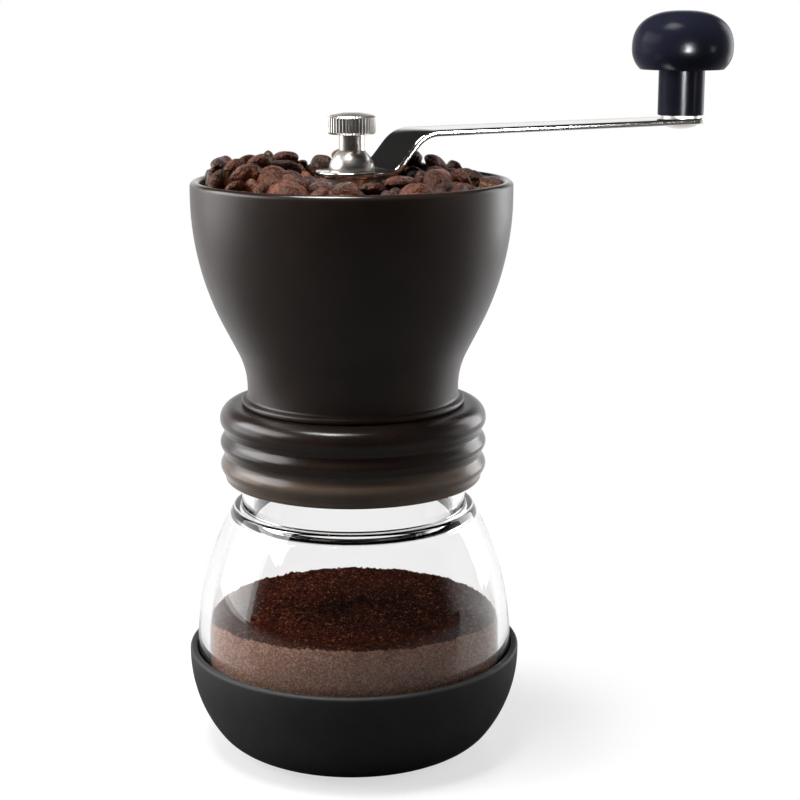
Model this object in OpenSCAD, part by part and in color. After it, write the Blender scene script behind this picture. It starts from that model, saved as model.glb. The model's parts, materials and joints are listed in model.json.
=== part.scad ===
// Hand crank coffee grinder: a rubber foot, a glass jar, a screw-on head with
// a hopper, a ceramic burr mill on one vertical shaft, and a crank with a knob.
// Millimetres. +Z is up, the crank points along +X, and the origin is the
// centre of the face that the foot stands on.

/* [Fits] */
// Radial play of a turning shaft in its bore
run_play = 0.06; // [0.03:0.01:0.1]
// Play around a piece that drops into a seat
seat_play = 0.1; // [0.05:0.05:0.2]
// Play between the jar and the rubber foot
boot_play = 0.3; // [0.3:0.05:0.5]
// Radial play between the two thread ridges and the walls that they face
thread_play = 0.35; // [0.3:0.05:0.5]

/* [Glass jar] */
// How far the jar's widest place stands out past its neck
jar_swell = 13; // [11:0.2:18]
// Height of the jar
jar_h = 86.5; // [76:0.5:100]
// Height of the widest place above the jar's underside
jar_waist_h = 24; // [22:0.5:27]
// Radius of the side curve below the widest place
jar_lower_curve = 34; // [32:1:44]
// Radius of the rounding around the jar's underside
jar_corner_r = 10; // [8:0.5:11]
// Thickness of the glass
jar_wall = 3.2; // [2.4:0.1:4]
// Radius of the rounding on the shoulder
jar_shoulder_r = 2.5; // [2:0.1:3]
// How far the middle of that rounding stands out past the neck
jar_shoulder_out = 1.5; // [1.3:0.1:3]
// Height of the jar's neck above the shoulder
neck_h = 21.5; // [19:0.5:25]
// Thickness of the glass in the neck
neck_wall = 3.5; // [2.8:0.1:4]
// Gap between the jar's mouth and the sleeve that hangs into it
mouth_gap = 2; // [1.5:0.1:4]
// Rounding of the jar's mouth
mouth_round = 1.1; // [0.6:0.1:1.2]

/* [Rubber foot] */
// Thickness of the foot under the jar
foot_floor = 3; // [2.5:0.5:5]
// Thickness of the rubber at its widest place
foot_wall = 1.9; // [1.7:0.1:3]
// Height of the foot's lip above the table
foot_h = 28; // [24:0.5:29]
// Radius of the foot's side curve
foot_curve = 36; // [33:1:46]
// Radius of the rounding around the foot's underside
foot_corner_r = 12; // [9:0.5:13]
// Rounding of the lip
lip_round = 0.9; // [0.5:0.1:1]
// Middle radius of the groove in the underside
foot_groove_r = 22; // [16:0.5:24]
// Width of the groove in the underside
foot_groove_w = 8; // [4:0.5:10]
// Depth of the groove in the underside
foot_groove_d = 1; // [0.5:0.1:1.5]

/* [Screw thread] */
// Rise of the head in one turn
thread_pitch = 5; // [4.5:0.1:6]
// Radial height of each thread ridge
thread_h = 0.95; // [0.7:0.05:1.1]
// Width of a thread ridge at its root
thread_w = 1.9; // [1.4:0.1:2]
// Turns of thread that are moulded on each piece
thread_turns = 1.25; // [1:0.05:1.4]
// Drop from the jar's mouth to the upper end of its thread
thread_drop = 5; // [4:0.5:6]

/* [Collar] */
// Height of the collar
collar_h = 21.1; // [19:0.2:25]
// Thickness of the collar's wall in its grooves
collar_wall = 3.05; // [2.5:0.05:4]
// Height of a rib above the grooves
rib_h = 1.25; // [0.6:0.05:1.8]
// Number of ribs
ribs = 3; // [2:1:4]
// Drop from the top rounding to the middle of the top rib
top_rib_drop = 0.3; // [0.2:0.1:1]
// Straight height of the collar below its lowest groove
collar_hem_h = 0.2; // [0.1:0.1:2]
// Rounding between the collar's side and its top
collar_round = 4; // [3:0.25:4.5]
// Rounding of the collar's lower edge
collar_low_round = 1; // [0.5:0.1:1.5]
// Thickness of the collar's web
web_t = 5.5; // [5:0.25:7]
// Thickness of the seal ring
seal_t = 1.5; // [1:0.1:2]

/* [Hopper] */
// How far the hopper's neck stands out past the sleeve around the burrs
hopper_neck_out = 3.45; // [3.2:0.05:4.2]
// Thickness of the hopper's wall
hopper_wall = 2.8; // [2.5:0.05:3.1]
// Height of the flange at the hopper's foot
flange_h = 1.8; // [1.4:0.1:2.5]
// How far the flange stands out from the neck
flange_out = 1.75; // [1:0.05:2.5]
// Straight height of the neck above the flange
hopper_neck_h = 2.7; // [2:0.1:4]
// Steepest lean of the hopper's side, in degrees
hopper_lean = 27; // [24:0.5:29]
// Radius of the hollow curve above the neck
cove_curve = 22; // [18:0.5:26]
// Length of the straight slope between the two curves
slope_len = 7.8; // [5:0.2:11]
// Radius of the bulging curve below the rim
bulge_curve = 77.2; // [70:0.2:84]
// Straight height of the rim above the bulge
rim_h = 4.1; // [3:0.1:6]

/* [Burr chamber] */
// Outside radius of the outer burr
outer_burr_r = 22.5; // [20:0.25:26]
// Height of the outer burr
outer_burr_h = 14; // [12:0.5:15]
// Depth of the outer burr's seat below the top of the collar
burr_seat_drop = 2.5; // [2:0.1:3]
// Thickness of the sleeve around the outer burr
sleeve_wall = 2.7; // [2.5:0.05:3.5]
// Width of the step that the outer burr seats against
burr_seat_w = 3; // [2:0.25:3.5]
// Height of the throat above that step
throat_h = 1.5; // [1:0.25:2.5]
// Width of a lug that keeps the outer burr from turning
lug_w = 4; // [3:0.25:5]
// Height of a lug
lug_h = 3; // [2:0.25:4]
// How far a lug stands out from the outer burr
lug_out = 1.4; // [1:0.1:1.8]
// Thickness of the ring that holds the outer burr
retainer_t = 3; // [2:0.25:4]

/* [Burrs] */
// Radius of the inner burr at its base
inner_burr_r = 17; // [16:0.1:17.4]
// Radius of the inner burr where its fine teeth end
fine_top_r = 13.8; // [13:0.1:14.2]
// Height of the fine teeth
fine_h = 5.5; // [5:0.25:6]
// Height of the coarse teeth above the fine teeth
coarse_h = 6.5; // [5.5:0.25:7]
// Radius of the inner burr's nose
nose_r = 7.2; // [6.8:0.1:8]
// Height of the inner burr
inner_burr_h = 17; // [15.5:0.25:17.5]
// Drop of the inner burr's base below the outer burr
inner_burr_drop = 1; // [0.5:0.1:1.4]
// Radial gap between the burrs at the coarsest setting
burr_gap = 1.3; // [1.3:0.05:1.6]
// Number of grooves in the inner burr
inner_grooves = 10; // [6:1:12]
// Number of grooves in the outer burr
outer_grooves = 12; // [8:1:14]
// Depth of the burrs' grooves
groove_d = 1.3; // [0.6:0.1:1.6]
// Width of the burrs' grooves
groove_w = 2.2; // [1.2:0.1:2.6]
// Lean of the outer burr's grooves, in degrees; the inner burr's lean twice as far
groove_lean = 12; // [5:1:15]

/* [Shaft] */
// Radius of the shaft
shaft_r = 4; // [3.6:0.1:4.2]
// Distance from the shaft's axis to a flat
flat_d = 3; // [2.7:0.05:3.1]
// Radius of the threaded tips of the shaft
tip_r = 2.5; // [2:0.1:2.6]
// Length of the upper threaded tip
upper_tip_h = 5.6; // [4:0.2:7]
// Length of the lower threaded tip past its nut
lower_tip_h = 0.6; // [0.3:0.1:1.5]

/* [Bearing tower] */
// Outside radius of the tower
tower_r = 8; // [7.4:0.1:9]
// Rise of the spokes' underside above the hopper's foot
spoke_rise = 7.5; // [7:0.1:9]
// Height of the spokes
spoke_h = 8; // [6:0.5:10]
// Width of the spokes
spoke_w = 4; // [3:0.25:5]
// Number of spokes
spokes = 3; // [3:1:4]
// Outside radius of the bushings
bushing_r = 5.5; // [5:0.1:5.8]
// Radius of the bushings' flanges
bushing_flange_r = 7.2; // [6.4:0.1:7.4]
// Thickness of the bushings' flanges
bushing_flange_t = 1; // [0.8:0.1:1.2]
// Length of a bushing's sleeve
bushing_h = 12; // [8:0.5:16]
// Radius of the spring's wire
spring_wire_r = 0.5; // [0.4:0.05:0.6]
// Turns of the spring
spring_turns = 3; // [2.5:0.25:3]

/* [Grind adjuster] */
// Thickness of the washers
washer_t = 0.8; // [0.6:0.1:1]
// Radius of the thrust washer
thrust_washer_r = 8.4; // [7.8:0.1:9]
// Radius of the adjuster nut
adjuster_r = 10; // [9:0.25:12]
// Height of the adjuster nut
adjuster_h = 7.8; // [6:0.2:9]
// Height of the adjuster nut's toothed flange
adjuster_flange_h = 3.6; // [3:0.2:4.5]
// Teeth around the adjuster nut
adjuster_teeth = 16; // [12:1:20]
// Thickness of the lock plate
lock_plate_t = 2; // [1.5:0.1:3]
// Radius of the lock plate
lock_plate_r = 8.2; // [7.5:0.1:9]

/* [Crank] */
// Distance from the shaft to the knob
crank_len = 113; // [95:1:125]
// Width of the crank's strap at the shaft
strap_w = 17; // [15:0.5:19]
// Width of the crank's strap at the knob
strap_end_w = 15.5; // [12:0.5:18]
// Thickness of the crank's strap
strap_t = 1.7; // [1.5:0.1:2.5]
// Radius of the crank's round end at the shaft
hub_r = 9.7; // [8.8:0.1:11]
// Gap between the hopper's rim and the crank's underside
hub_rise = 0.7; // [0.5:0.1:3]
// Climb of the strap from the hub to the knob
crank_climb = 10.3; // [8:0.1:14]
// Angle of the climbing part of the strap, in degrees
crank_slope = 48; // [32:1:52]
// Flat length of the strap before it climbs
hub_flat = 6.8; // [6.5:0.1:9]
// Inside radius of the strap's lower bend
low_bend_r = 4; // [2:0.25:5]
// Inside radius of the strap's upper bend
high_bend_r = 9; // [4:0.25:11]

/* [Top nut] */
// Height of the top nut
top_nut_h = 15.2; // [14:0.2:18]
// Radius of the top nut's foot
top_nut_foot_r = 6.1; // [5.6:0.1:7]
// Height of the top nut's domed foot
top_nut_foot_h = 5.4; // [4.8:0.1:6]
// Radius of the top nut's waist
top_nut_waist_r = 3.4; // [3.2:0.1:4]
// Radius of the top nut's knurled head
top_nut_head_r = 6.45; // [6:0.05:7.5]
// Height of the top nut's knurled head
top_nut_head_h = 5.6; // [4:0.1:6]
// Number of grooves in the knurl
knurls = 36; // [24:1:40]

/* [Knob] */
// Radius of the knob's cap
knob_r = 14.9; // [13:0.1:18]
// Height of the cap above its widest place
knob_top_h = 11.2; // [9:0.1:14]
// Height of the cap below its widest place
knob_low_h = 5.9; // [4:0.1:6.5]
// Radius of the rounding below the widest place
knob_low_r = 8; // [7:0.25:10]
// Roundness of the cap: 2 is an ellipse, more is squarer
knob_power = 2.5; // [2:0.1:3]
// Radius of the knob's stem
stem_r = 6.8; // [6:0.1:8]
// Height of the knob's stem
stem_h = 13.4; // [9:0.2:15]
// Radius of the pin that the knob turns on
pin_r = 3; // [2.5:0.1:3.5]
// Radius of the pin's head under the strap
pin_head_r = 5.2; // [4.5:0.1:6]
// Height of the pin's head
pin_head_h = 1.6; // [1.2:0.1:2.2]
// Radius of the collar that keeps the knob on the pin
pin_collar_r = 4; // [3.9:0.1:4.6]
// Height of that collar
pin_collar_h = 2; // [1.5:0.1:3]
// Thickness of the washer under the knob
knob_washer_t = 0.7; // [0.5:0.1:1.2]

/* [Fasteners] */
// Distance of the collar screws from the outside of the hopper's neck
collar_screw_in = 1.15; // [1.1:0.05:1.4]
// Radius of the collar screws
collar_screw_r = 0.9; // [0.8:0.05:0.95]
// Length of the collar screws above the web
collar_screw_bite = 4.5; // [3:0.25:4.5]
// Radius of the collar screws' heads
collar_screw_head_r = 1.6; // [1.4:0.05:1.65]
// Distance of the retainer screws from the outside of the sleeve
retainer_screw_in = 1.35; // [1.2:0.05:1.5]
// Radius of the retainer screws
retainer_screw_r = 0.8; // [0.7:0.05:0.85]
// Length of the retainer screws above the ring
retainer_screw_bite = 7; // [5:0.25:9]
// Radius of the retainer screws' heads
retainer_screw_head_r = 1.3; // [1.2:0.05:1.35]
// Height of both kinds of screw head
screw_head_h = 1.1; // [0.8:0.1:1.3]
// Width across the flats of the nut under the burr
burr_nut_af = 8; // [7:0.25:9]
// Height of the nut under the burr
burr_nut_h = 2.4; // [2:0.1:4]
// Thickness of the plate that drives the inner burr
carrier_t = 3.8; // [3:0.1:5]
// Radius of the plate that drives the inner burr
carrier_r = 13; // [12:0.25:15]
// Width of the keys on that plate
key_w = 4; // [3:0.25:5]
// Height of the keys on that plate
key_h = 2; // [1.5:0.1:2.5]

/* [Hidden] */
$fn = 96;
eps = 0.01;
facets = 14;

RUBBER = [0.15, 0.15, 0.15];
GLASS = [0.85, 0.9, 0.92, 0.35];
SHELL = [0.17, 0.155, 0.14];
STEEL = [0.75, 0.74, 0.72];
CERAMIC = [0.93, 0.92, 0.88];
BRASS = [0.8, 0.66, 0.35];
BLACK = [0.08, 0.08, 0.09];
KNOB = [0.09, 0.1, 0.15];

// Heights of the faces that the pieces share, from the table up
jar_z = foot_floor;
waist_z = jar_z + jar_waist_h;
shoulder_z = jar_z + jar_h - neck_h;
jar_rim_z = jar_z + jar_h;
web_z = jar_rim_z + seal_t;
collar_top_z = web_z + web_t;
collar_z = collar_top_z - collar_h;
neck_top_z = collar_top_z + flange_h + hopper_neck_h;
slope_z = neck_top_z + cove_curve * sin(hopper_lean);
bulge_z = slope_z + slope_len * cos(hopper_lean);
belly_z = bulge_z + bulge_curve * sin(hopper_lean);
rim_z = belly_z + rim_h;
burr_seat_z = collar_top_z - burr_seat_drop;
sleeve_z = burr_seat_z - outer_burr_h;
retainer_z = sleeve_z - retainer_t;
inner_burr_z = sleeve_z - inner_burr_drop;
inner_burr_top_z = inner_burr_z + inner_burr_h;
carrier_z = inner_burr_z - carrier_t;
burr_nut_z = carrier_z - washer_t - burr_nut_h;
spoke_z = collar_top_z + spoke_rise;
spring_z = inner_burr_top_z + washer_t;
spring_top_z = spoke_z - bushing_flange_t;
hub_z = rim_z + hub_rise;
hub_top_z = hub_z + strap_t;
lock_plate_z = hub_z - lock_plate_t;
adjuster_z = lock_plate_z - adjuster_h;
thrust_washer_z = adjuster_z - washer_t;
tower_top_z = thrust_washer_z - bushing_flange_t;
strap_top_z = hub_top_z + crank_climb;
knob_z = strap_top_z + knob_washer_t;
cap_z = knob_z + stem_h;
widest_z = cap_z + knob_low_h;
knob_top_z = widest_z + knob_top_h;

// Radii that follow from their neighbours, from the outer burr outwards
sleeve_in_r = outer_burr_r + seat_play;
sleeve_r = sleeve_in_r + sleeve_wall;
throat_r = outer_burr_r - burr_seat_w;
web_bore_r = sleeve_r + seat_play;
mouth_r = sleeve_r + mouth_gap;
neck_r = mouth_r + neck_wall;
jar_r = neck_r + jar_swell;
hopper_neck_r = sleeve_r + hopper_neck_out;
collar_screw_at = hopper_neck_r - collar_screw_in;
retainer_screw_at = sleeve_r - retainer_screw_in;
collar_in_r = neck_r + thread_h + thread_play;
groove_r = collar_in_r + collar_wall;
rib_r = groove_r + rib_h;
foot_r = jar_r + boot_play + foot_wall;
belly_r = hopper_neck_r + slope_len * sin(hopper_lean)
    + (cove_curve + bulge_curve) * (1 - cos(hopper_lean));
shaft_bore_r = shaft_r + run_play;
tower_bore_r = bushing_r + seat_play / 2;
pin_bore_r = pin_r + run_play;
loose_bore_r = shaft_r + seat_play + run_play;
spring_r = shaft_r + 2 * seat_play + 2.2 * spring_wire_r;

// Radius of the jar's side above its widest place, which runs into the
// rounding on the shoulder
shoulder_run = jar_swell - jar_shoulder_out;
shoulder_rise = shoulder_z - jar_shoulder_r - waist_z;
jar_upper_curve = (pow(shoulder_run, 2) - pow(jar_shoulder_r, 2) + pow(shoulder_rise, 2))
    / (2 * (shoulder_run - jar_shoulder_r));

// Distance from one rib of the collar to the next
rib_pitch = (collar_h - collar_round - top_rib_drop - collar_low_round - collar_hem_h) / (ribs - 0.5);

// Points of an arc about c, from angle a to angle b
function arc(c, r, a, b, n = facets) =
    [for (i = [0:n]) let (t = a + (b - a) * i / n) [c[0] + r * cos(t), c[1] + r * sin(t)]];

// Radial place of a circle of radius r that touches a larger side circle from
// inside, when its centre is dz below or above the larger circle's centre
function nested(side_r, r, dz) = sqrt((side_r - r) * (side_r - r) - dz * dz);

// A solid turned about the vertical axis
module turned(points) {
    rotate_extrude() polygon(points);
}

// A plain ring
module ring(r_out, r_in, z, h) {
    translate([0, 0, z]) difference() {
        cylinder(r = r_out, h = h);
        translate([0, 0, -eps]) cylinder(r = r_in, h = h + 2 * eps);
    }
}

// The shaft's section with two flats, grown by a play
module flatted(z, h, play = 0) {
    intersection() {
        translate([0, 0, z]) cylinder(r = shaft_r + play, h = h);
        translate([-shaft_r - 1, -flat_d - play, z]) cube([2 * shaft_r + 2, 2 * (flat_d + play), h]);
    }
}

// Copies around the vertical axis at a distance from it
module around(count, at = 0, start = 0) {
    for (i = [0:count - 1]) rotate([0, 0, start + i * 360 / count]) translate([at, 0, 0]) children();
}

// A thread ridge from a root radius to a crest radius, which may be larger or
// smaller; it fades into its wall at both ends
module thread_ridge(root, crest, z) {
    steps_per_turn = 36;
    n = round(thread_turns * steps_per_turn);
    fade = 5;
    half_root = thread_w / 2;
    half_crest = thread_w / 4;
    function height(i) = max(0.02, min(1, i / fade, (n - i) / fade));
    function section(i) = let (c = root + (crest - root) * height(i))
        [[root, -half_root], [c, -half_crest], [c, half_crest], [root, half_root]];
    points = [for (i = [0:n], p = section(i)) let (a = i * 360 / steps_per_turn)
        [p[0] * cos(a), p[0] * sin(a), z + thread_pitch * i / steps_per_turn + p[1]]];
    sides = [for (i = [0:n - 1], j = [0:3]) let (k = (j + 1) % 4)
        [4 * i + j, 4 * i + k, 4 * i + 4 + k, 4 * i + 4 + j]];
    ends = [[3, 2, 1, 0], [4 * n, 4 * n + 1, 4 * n + 2, 4 * n + 3]];
    all = concat(sides, ends);
    outward = crest > root;
    polyhedron(points, [for (f = all) outward ? f : [f[3], f[2], f[1], f[0]]]);
}

// Outline of the jar's body up to the shoulder, drawn inwards by d
function jar_side(d) = concat(
    arc([jar_r - jar_lower_curve + nested(jar_lower_curve, jar_corner_r, jar_waist_h - jar_corner_r),
        jar_z + jar_corner_r], jar_corner_r - d, -90,
        -asin((jar_waist_h - jar_corner_r) / (jar_lower_curve - jar_corner_r))),
    arc([jar_r - jar_lower_curve, waist_z], jar_lower_curve - d,
        -asin((jar_waist_h - jar_corner_r) / (jar_lower_curve - jar_corner_r)), 0),
    arc([jar_r - jar_upper_curve, waist_z], jar_upper_curve - d, 0, jar_side_end(d)));

// The shoulder's rounding, outside when d is 0 and inside when it is the wall
function shoulder_round(d) = jar_shoulder_r + d / 2;
function shoulder_centre_z(d) = shoulder_z - d - shoulder_round(d);
function jar_side_end(d) =
    asin((shoulder_centre_z(d) - waist_z) / (jar_upper_curve - d - shoulder_round(d)));
function shoulder_arc(d) = arc([jar_r - jar_upper_curve
    + nested(jar_upper_curve - d, shoulder_round(d), shoulder_centre_z(d) - waist_z),
    shoulder_centre_z(d)], shoulder_round(d), jar_side_end(d), 90);

module rubber_base() {
    bulge_z = foot_h - 2 * lip_round;
    corner_at = foot_r - foot_curve + nested(foot_curve, foot_corner_r, bulge_z - foot_corner_r);
    lean = asin((bulge_z - foot_corner_r) / (foot_curve - foot_corner_r));
    lip_in_r = jar_r + boot_play;
    color(RUBBER) difference() {
        turned(concat(
            [[0, 0]],
            arc([corner_at, foot_corner_r], foot_corner_r, -90, -lean),
            arc([foot_r - foot_curve, bulge_z], foot_curve, -lean, 0),
            arc([foot_r - lip_round, foot_h - lip_round], lip_round, 0, 90),
            [[0, foot_h]]));
        // The jar's own outline, grown by the play, but not below the floor
        intersection() {
            turned(concat([[0, jar_z - boot_play]], jar_side(-boot_play), [[0, shoulder_z]]));
            translate([0, 0, jar_z]) cylinder(r = 2 * foot_r, h = foot_h);
        }
        translate([0, 0, waist_z]) cylinder(r = lip_in_r, h = foot_h);
        ring(foot_groove_r + foot_groove_w / 2, foot_groove_r - foot_groove_w / 2, -eps,
            foot_groove_d + eps);
    }
}

module glass_jar() {
    fillet = jar_shoulder_r / 2;
    color(GLASS) union() {
        difference() {
            turned(concat(
                [[0, jar_z]],
                jar_side(0),
                shoulder_arc(0),
                arc([neck_r + fillet, shoulder_z + fillet], fillet, -90, -180, 6),
                arc([neck_r - mouth_round, jar_rim_z - mouth_round], mouth_round, 0, 90, 6),
                [[0, jar_rim_z]]));
            turned(concat(
                [[0, jar_z + jar_wall]],
                jar_side(jar_wall),
                shoulder_arc(jar_wall),
                arc([mouth_r + fillet, shoulder_z - jar_wall + fillet], fillet, -90, -180, 6),
                [[mouth_r, jar_rim_z - mouth_round]],
                arc([mouth_r + mouth_round, jar_rim_z - mouth_round], mouth_round, 180, 90, 6),
                [[mouth_r + mouth_round, jar_rim_z + 1], [0, jar_rim_z + 1]]));
        }
        thread_ridge(neck_r - 0.6, neck_r + thread_h,
            jar_rim_z - thread_drop - thread_turns * thread_pitch);
    }
}

module seal_ring() {
    color(BLACK) ring(collar_in_r - thread_play, mouth_r + mouth_round / 2, jar_rim_z, seal_t);
}

module collar() {
    first_z = collar_top_z - collar_round - top_rib_drop - (ribs - 1) * rib_pitch;
    samples = 12;
    // A wave with its crests on the ribs, from the lowest groove to the top rib
    wave = [for (i = [0:round((ribs - 0.5) * samples)])
        let (z = first_z - rib_pitch / 2 + i * rib_pitch / samples)
        [groove_r + rib_h * (1 - cos(360 * i / samples)) / 2, z]];
    color(SHELL) difference() {
        union() {
            difference() {
                turned(concat(
                    [[0, collar_z]],
                    arc([groove_r - collar_low_round, collar_z + collar_low_round],
                        collar_low_round, -90, 0, 6),
                    wave,
                    arc([rib_r - collar_round, collar_top_z - collar_round], collar_round, 0, 90, 10),
                    [[0, collar_top_z]]));
                translate([0, 0, collar_z - 1]) cylinder(r = collar_in_r, h = web_z - collar_z + 1);
            }
            thread_ridge(collar_in_r + 0.6, collar_in_r - thread_h,
                jar_rim_z - thread_drop - (thread_turns - 0.5) * thread_pitch);
        }
        translate([0, 0, web_z - 1]) cylinder(r = web_bore_r, h = web_t + 2);
        around(3, collar_screw_at) {
            translate([0, 0, web_z - eps])
                cylinder(r = collar_screw_head_r + seat_play, h = screw_head_h + eps);
            translate([0, 0, web_z]) cylinder(r = collar_screw_r + seat_play, h = web_t + 1);
        }
    }
}

module collar_screws() {
    color(STEEL) around(3, collar_screw_at) screw(collar_screw_r, collar_screw_head_r,
        web_z, web_t - screw_head_h + collar_screw_bite);
}

// A pan head screw that points up, with a cross in its head
module screw(r, head_r, z, shank) {
    translate([0, 0, z]) difference() {
        union() {
            cylinder(r = head_r, h = screw_head_h);
            cylinder(r = r, h = screw_head_h + shank);
        }
        for (a = [0, 90]) rotate([0, 0, a])
            translate([-head_r * 0.6, -0.2, -eps]) cube([head_r * 1.2, 0.4, screw_head_h * 0.5]);
    }
}

// The hopper's outline from its foot to its rim, drawn inwards by d
function hopper_side(d) = concat(
    [[hopper_neck_r - d, neck_top_z]],
    arc([hopper_neck_r + cove_curve, neck_top_z], cove_curve + d, 180, 180 - hopper_lean),
    arc([belly_r - bulge_curve, belly_z], bulge_curve - d, -hopper_lean, 0));

module hopper() {
    flange_r = hopper_neck_r + flange_out;
    flange_round = flange_h / 2;
    neck_fillet = flange_out - flange_round;
    rim_round = hopper_wall / 2;
    lug_r = outer_burr_r + lug_out + seat_play;
    color(SHELL) difference() {
        union() {
            // Sleeve around the burrs, flange, neck and bowl in one outline
            difference() {
                turned(concat(
                    [[0, sleeve_z], [sleeve_r, sleeve_z], [sleeve_r, collar_top_z]],
                    arc([flange_r - flange_round, collar_top_z + flange_round],
                        flange_round, -90, 90, 8),
                    arc([hopper_neck_r + neck_fillet, collar_top_z + flange_h + neck_fillet],
                        neck_fillet, -90, -180, 6),
                    hopper_side(0),
                    arc([belly_r - rim_round, rim_z - rim_round], rim_round, 0, 90, 8),
                    [[0, rim_z]]));
                // Seat of the outer burr, throat, and the inside of the bowl
                turned(concat(
                    [[0, sleeve_z - 1], [sleeve_in_r, sleeve_z - 1], [sleeve_in_r, burr_seat_z],
                    [throat_r, burr_seat_z], [throat_r, burr_seat_z + throat_h]],
                    hopper_side(hopper_wall),
                    [[belly_r - hopper_wall, rim_z - rim_round]],
                    arc([belly_r - rim_round, rim_z - rim_round], rim_round, 180, 90, 8),
                    [[belly_r - rim_round, rim_z + 1], [0, rim_z + 1]]));
            }
            // Tower and its spokes
            translate([0, 0, spoke_z]) cylinder(r = tower_r, h = tower_top_z - spoke_z);
            intersection() {
                around(spokes, (tower_bore_r + tower_r) / 2, 90) translate([0, -spoke_w / 2, spoke_z])
                    cube([belly_r, spoke_w, spoke_h]);
                turned(concat([[0, collar_top_z], [hopper_neck_r - hopper_wall / 2, collar_top_z]],
                    hopper_side(hopper_wall / 2), [[0, belly_z]]));
            }
        }
        around(3) translate([sleeve_in_r - 2, -lug_w / 2 - seat_play, sleeve_z - 1])
            cube([lug_r - sleeve_in_r + 2, lug_w + 2 * seat_play, lug_h + 1 + seat_play]);
        // Bore of the tower
        translate([0, 0, spoke_z - 1]) cylinder(r = tower_bore_r, h = tower_top_z - spoke_z + 2);
        // Pilot holes of the screws
        around(3, collar_screw_at) translate([0, 0, collar_top_z - 1])
            cylinder(r = collar_screw_r + eps, h = collar_screw_bite + 1.2);
        around(3, retainer_screw_at, 60) translate([0, 0, sleeve_z - 1])
            cylinder(r = retainer_screw_r + eps, h = retainer_screw_bite + 1.2);
    }
}

// A flanged bushing; up is 1 when its flange is on top, and -1 below
module bushing(face_z, up) {
    flange_z = up > 0 ? face_z : face_z - bushing_flange_t;
    sleeve_low_z = up > 0 ? face_z - bushing_h : face_z;
    difference() {
        union() {
            translate([0, 0, flange_z]) cylinder(r = bushing_flange_r, h = bushing_flange_t);
            translate([0, 0, sleeve_low_z]) cylinder(r = bushing_r, h = bushing_h);
        }
        translate([0, 0, sleeve_low_z - 2]) cylinder(r = shaft_bore_r, h = bushing_h + 4);
    }
}

module upper_bushing() {
    color(BLACK) bushing(tower_top_z, 1);
}

module lower_bushing() {
    color(BLACK) bushing(spoke_z, -1);
}

module outer_burr() {
    wide_r = inner_burr_r + burr_gap;
    fine_r = fine_top_r + burr_gap;
    fine_z = sleeve_z + fine_h;
    color(CERAMIC) difference() {
        union() {
            translate([0, 0, sleeve_z]) cylinder(r = outer_burr_r, h = outer_burr_h);
            around(3) translate([outer_burr_r - 2, -lug_w / 2, sleeve_z])
                cube([lug_out + 2, lug_w, lug_h]);
        }
        turned([[0, sleeve_z - eps], [wide_r, sleeve_z - eps], [wide_r, sleeve_z], [fine_r, fine_z],
            [fine_r, burr_seat_z - 3], [throat_r - 1, burr_seat_z], [throat_r - 1, burr_seat_z + 1],
            [0, burr_seat_z + 1]]);
        around(outer_grooves) translate([0, 0, sleeve_z + fine_h / 2]) rotate([groove_lean, 0, 0])
            translate([0, -groove_w / 2, 0]) cube([fine_r + groove_d, groove_w, outer_burr_h]);
    }
}

module burr_retainer() {
    color(BLACK) difference() {
        ring(sleeve_r, inner_burr_r + burr_gap + 1, retainer_z, retainer_t);
        around(3, retainer_screw_at, 60) translate([0, 0, retainer_z - 1])
            cylinder(r = retainer_screw_r + seat_play, h = retainer_t + 2);
    }
}

module retainer_screws() {
    color(STEEL) around(3, retainer_screw_at, 60) screw(retainer_screw_r, retainer_screw_head_r,
        retainer_z - screw_head_h, retainer_t + retainer_screw_bite);
}

module thrust_washer() {
    color(STEEL) ring(thrust_washer_r, loose_bore_r, thrust_washer_z, washer_t);
}

module adjuster_nut() {
    tooth_w = PI * adjuster_r / adjuster_teeth;
    boss_r = lock_plate_r - 0.7;
    color(BLACK) difference() {
        union() {
            translate([0, 0, adjuster_z]) cylinder(r = adjuster_r, h = adjuster_flange_h);
            translate([0, 0, adjuster_z]) cylinder(r = boss_r, h = adjuster_h);
        }
        translate([0, 0, adjuster_z - 1]) cylinder(r = shaft_bore_r, h = adjuster_h + 2);
        around(adjuster_teeth, adjuster_r) translate([-0.9, -tooth_w / 2, adjuster_z - 1])
            cube([2, tooth_w, adjuster_flange_h + 2]);
    }
}

module lock_plate() {
    color(STEEL) difference() {
        translate([0, 0, lock_plate_z]) cylinder(r = lock_plate_r, h = lock_plate_t);
        flatted(lock_plate_z - 1, lock_plate_t + 2, seat_play);
        for (s = [-1, 1]) translate([s * lock_plate_r - 1, -1.5, lock_plate_z - 1])
            cube([2, 3, lock_plate_t + 2]);
    }
}

module drive_shaft() {
    upper_tip_z = hub_top_z - 0.2;
    lower_tip_z = carrier_z + 0.2;
    color(STEEL) union() {
        translate([0, 0, inner_burr_z]) cylinder(r = shaft_r, h = lock_plate_z - inner_burr_z);
        flatted(lock_plate_z - eps, upper_tip_z - lock_plate_z + eps);
        flatted(lower_tip_z, inner_burr_z - lower_tip_z + eps);
        translate([0, 0, upper_tip_z - 1]) cylinder(r = tip_r, h = upper_tip_h + 1.2 - 0.6);
        translate([0, 0, upper_tip_z + upper_tip_h - 0.4]) cylinder(r1 = tip_r, r2 = tip_r - 0.6, h = 0.6);
        translate([0, 0, burr_nut_z - lower_tip_h])
            cylinder(r = tip_r, h = lower_tip_z - burr_nut_z + lower_tip_h + 1);
    }
}

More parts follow.
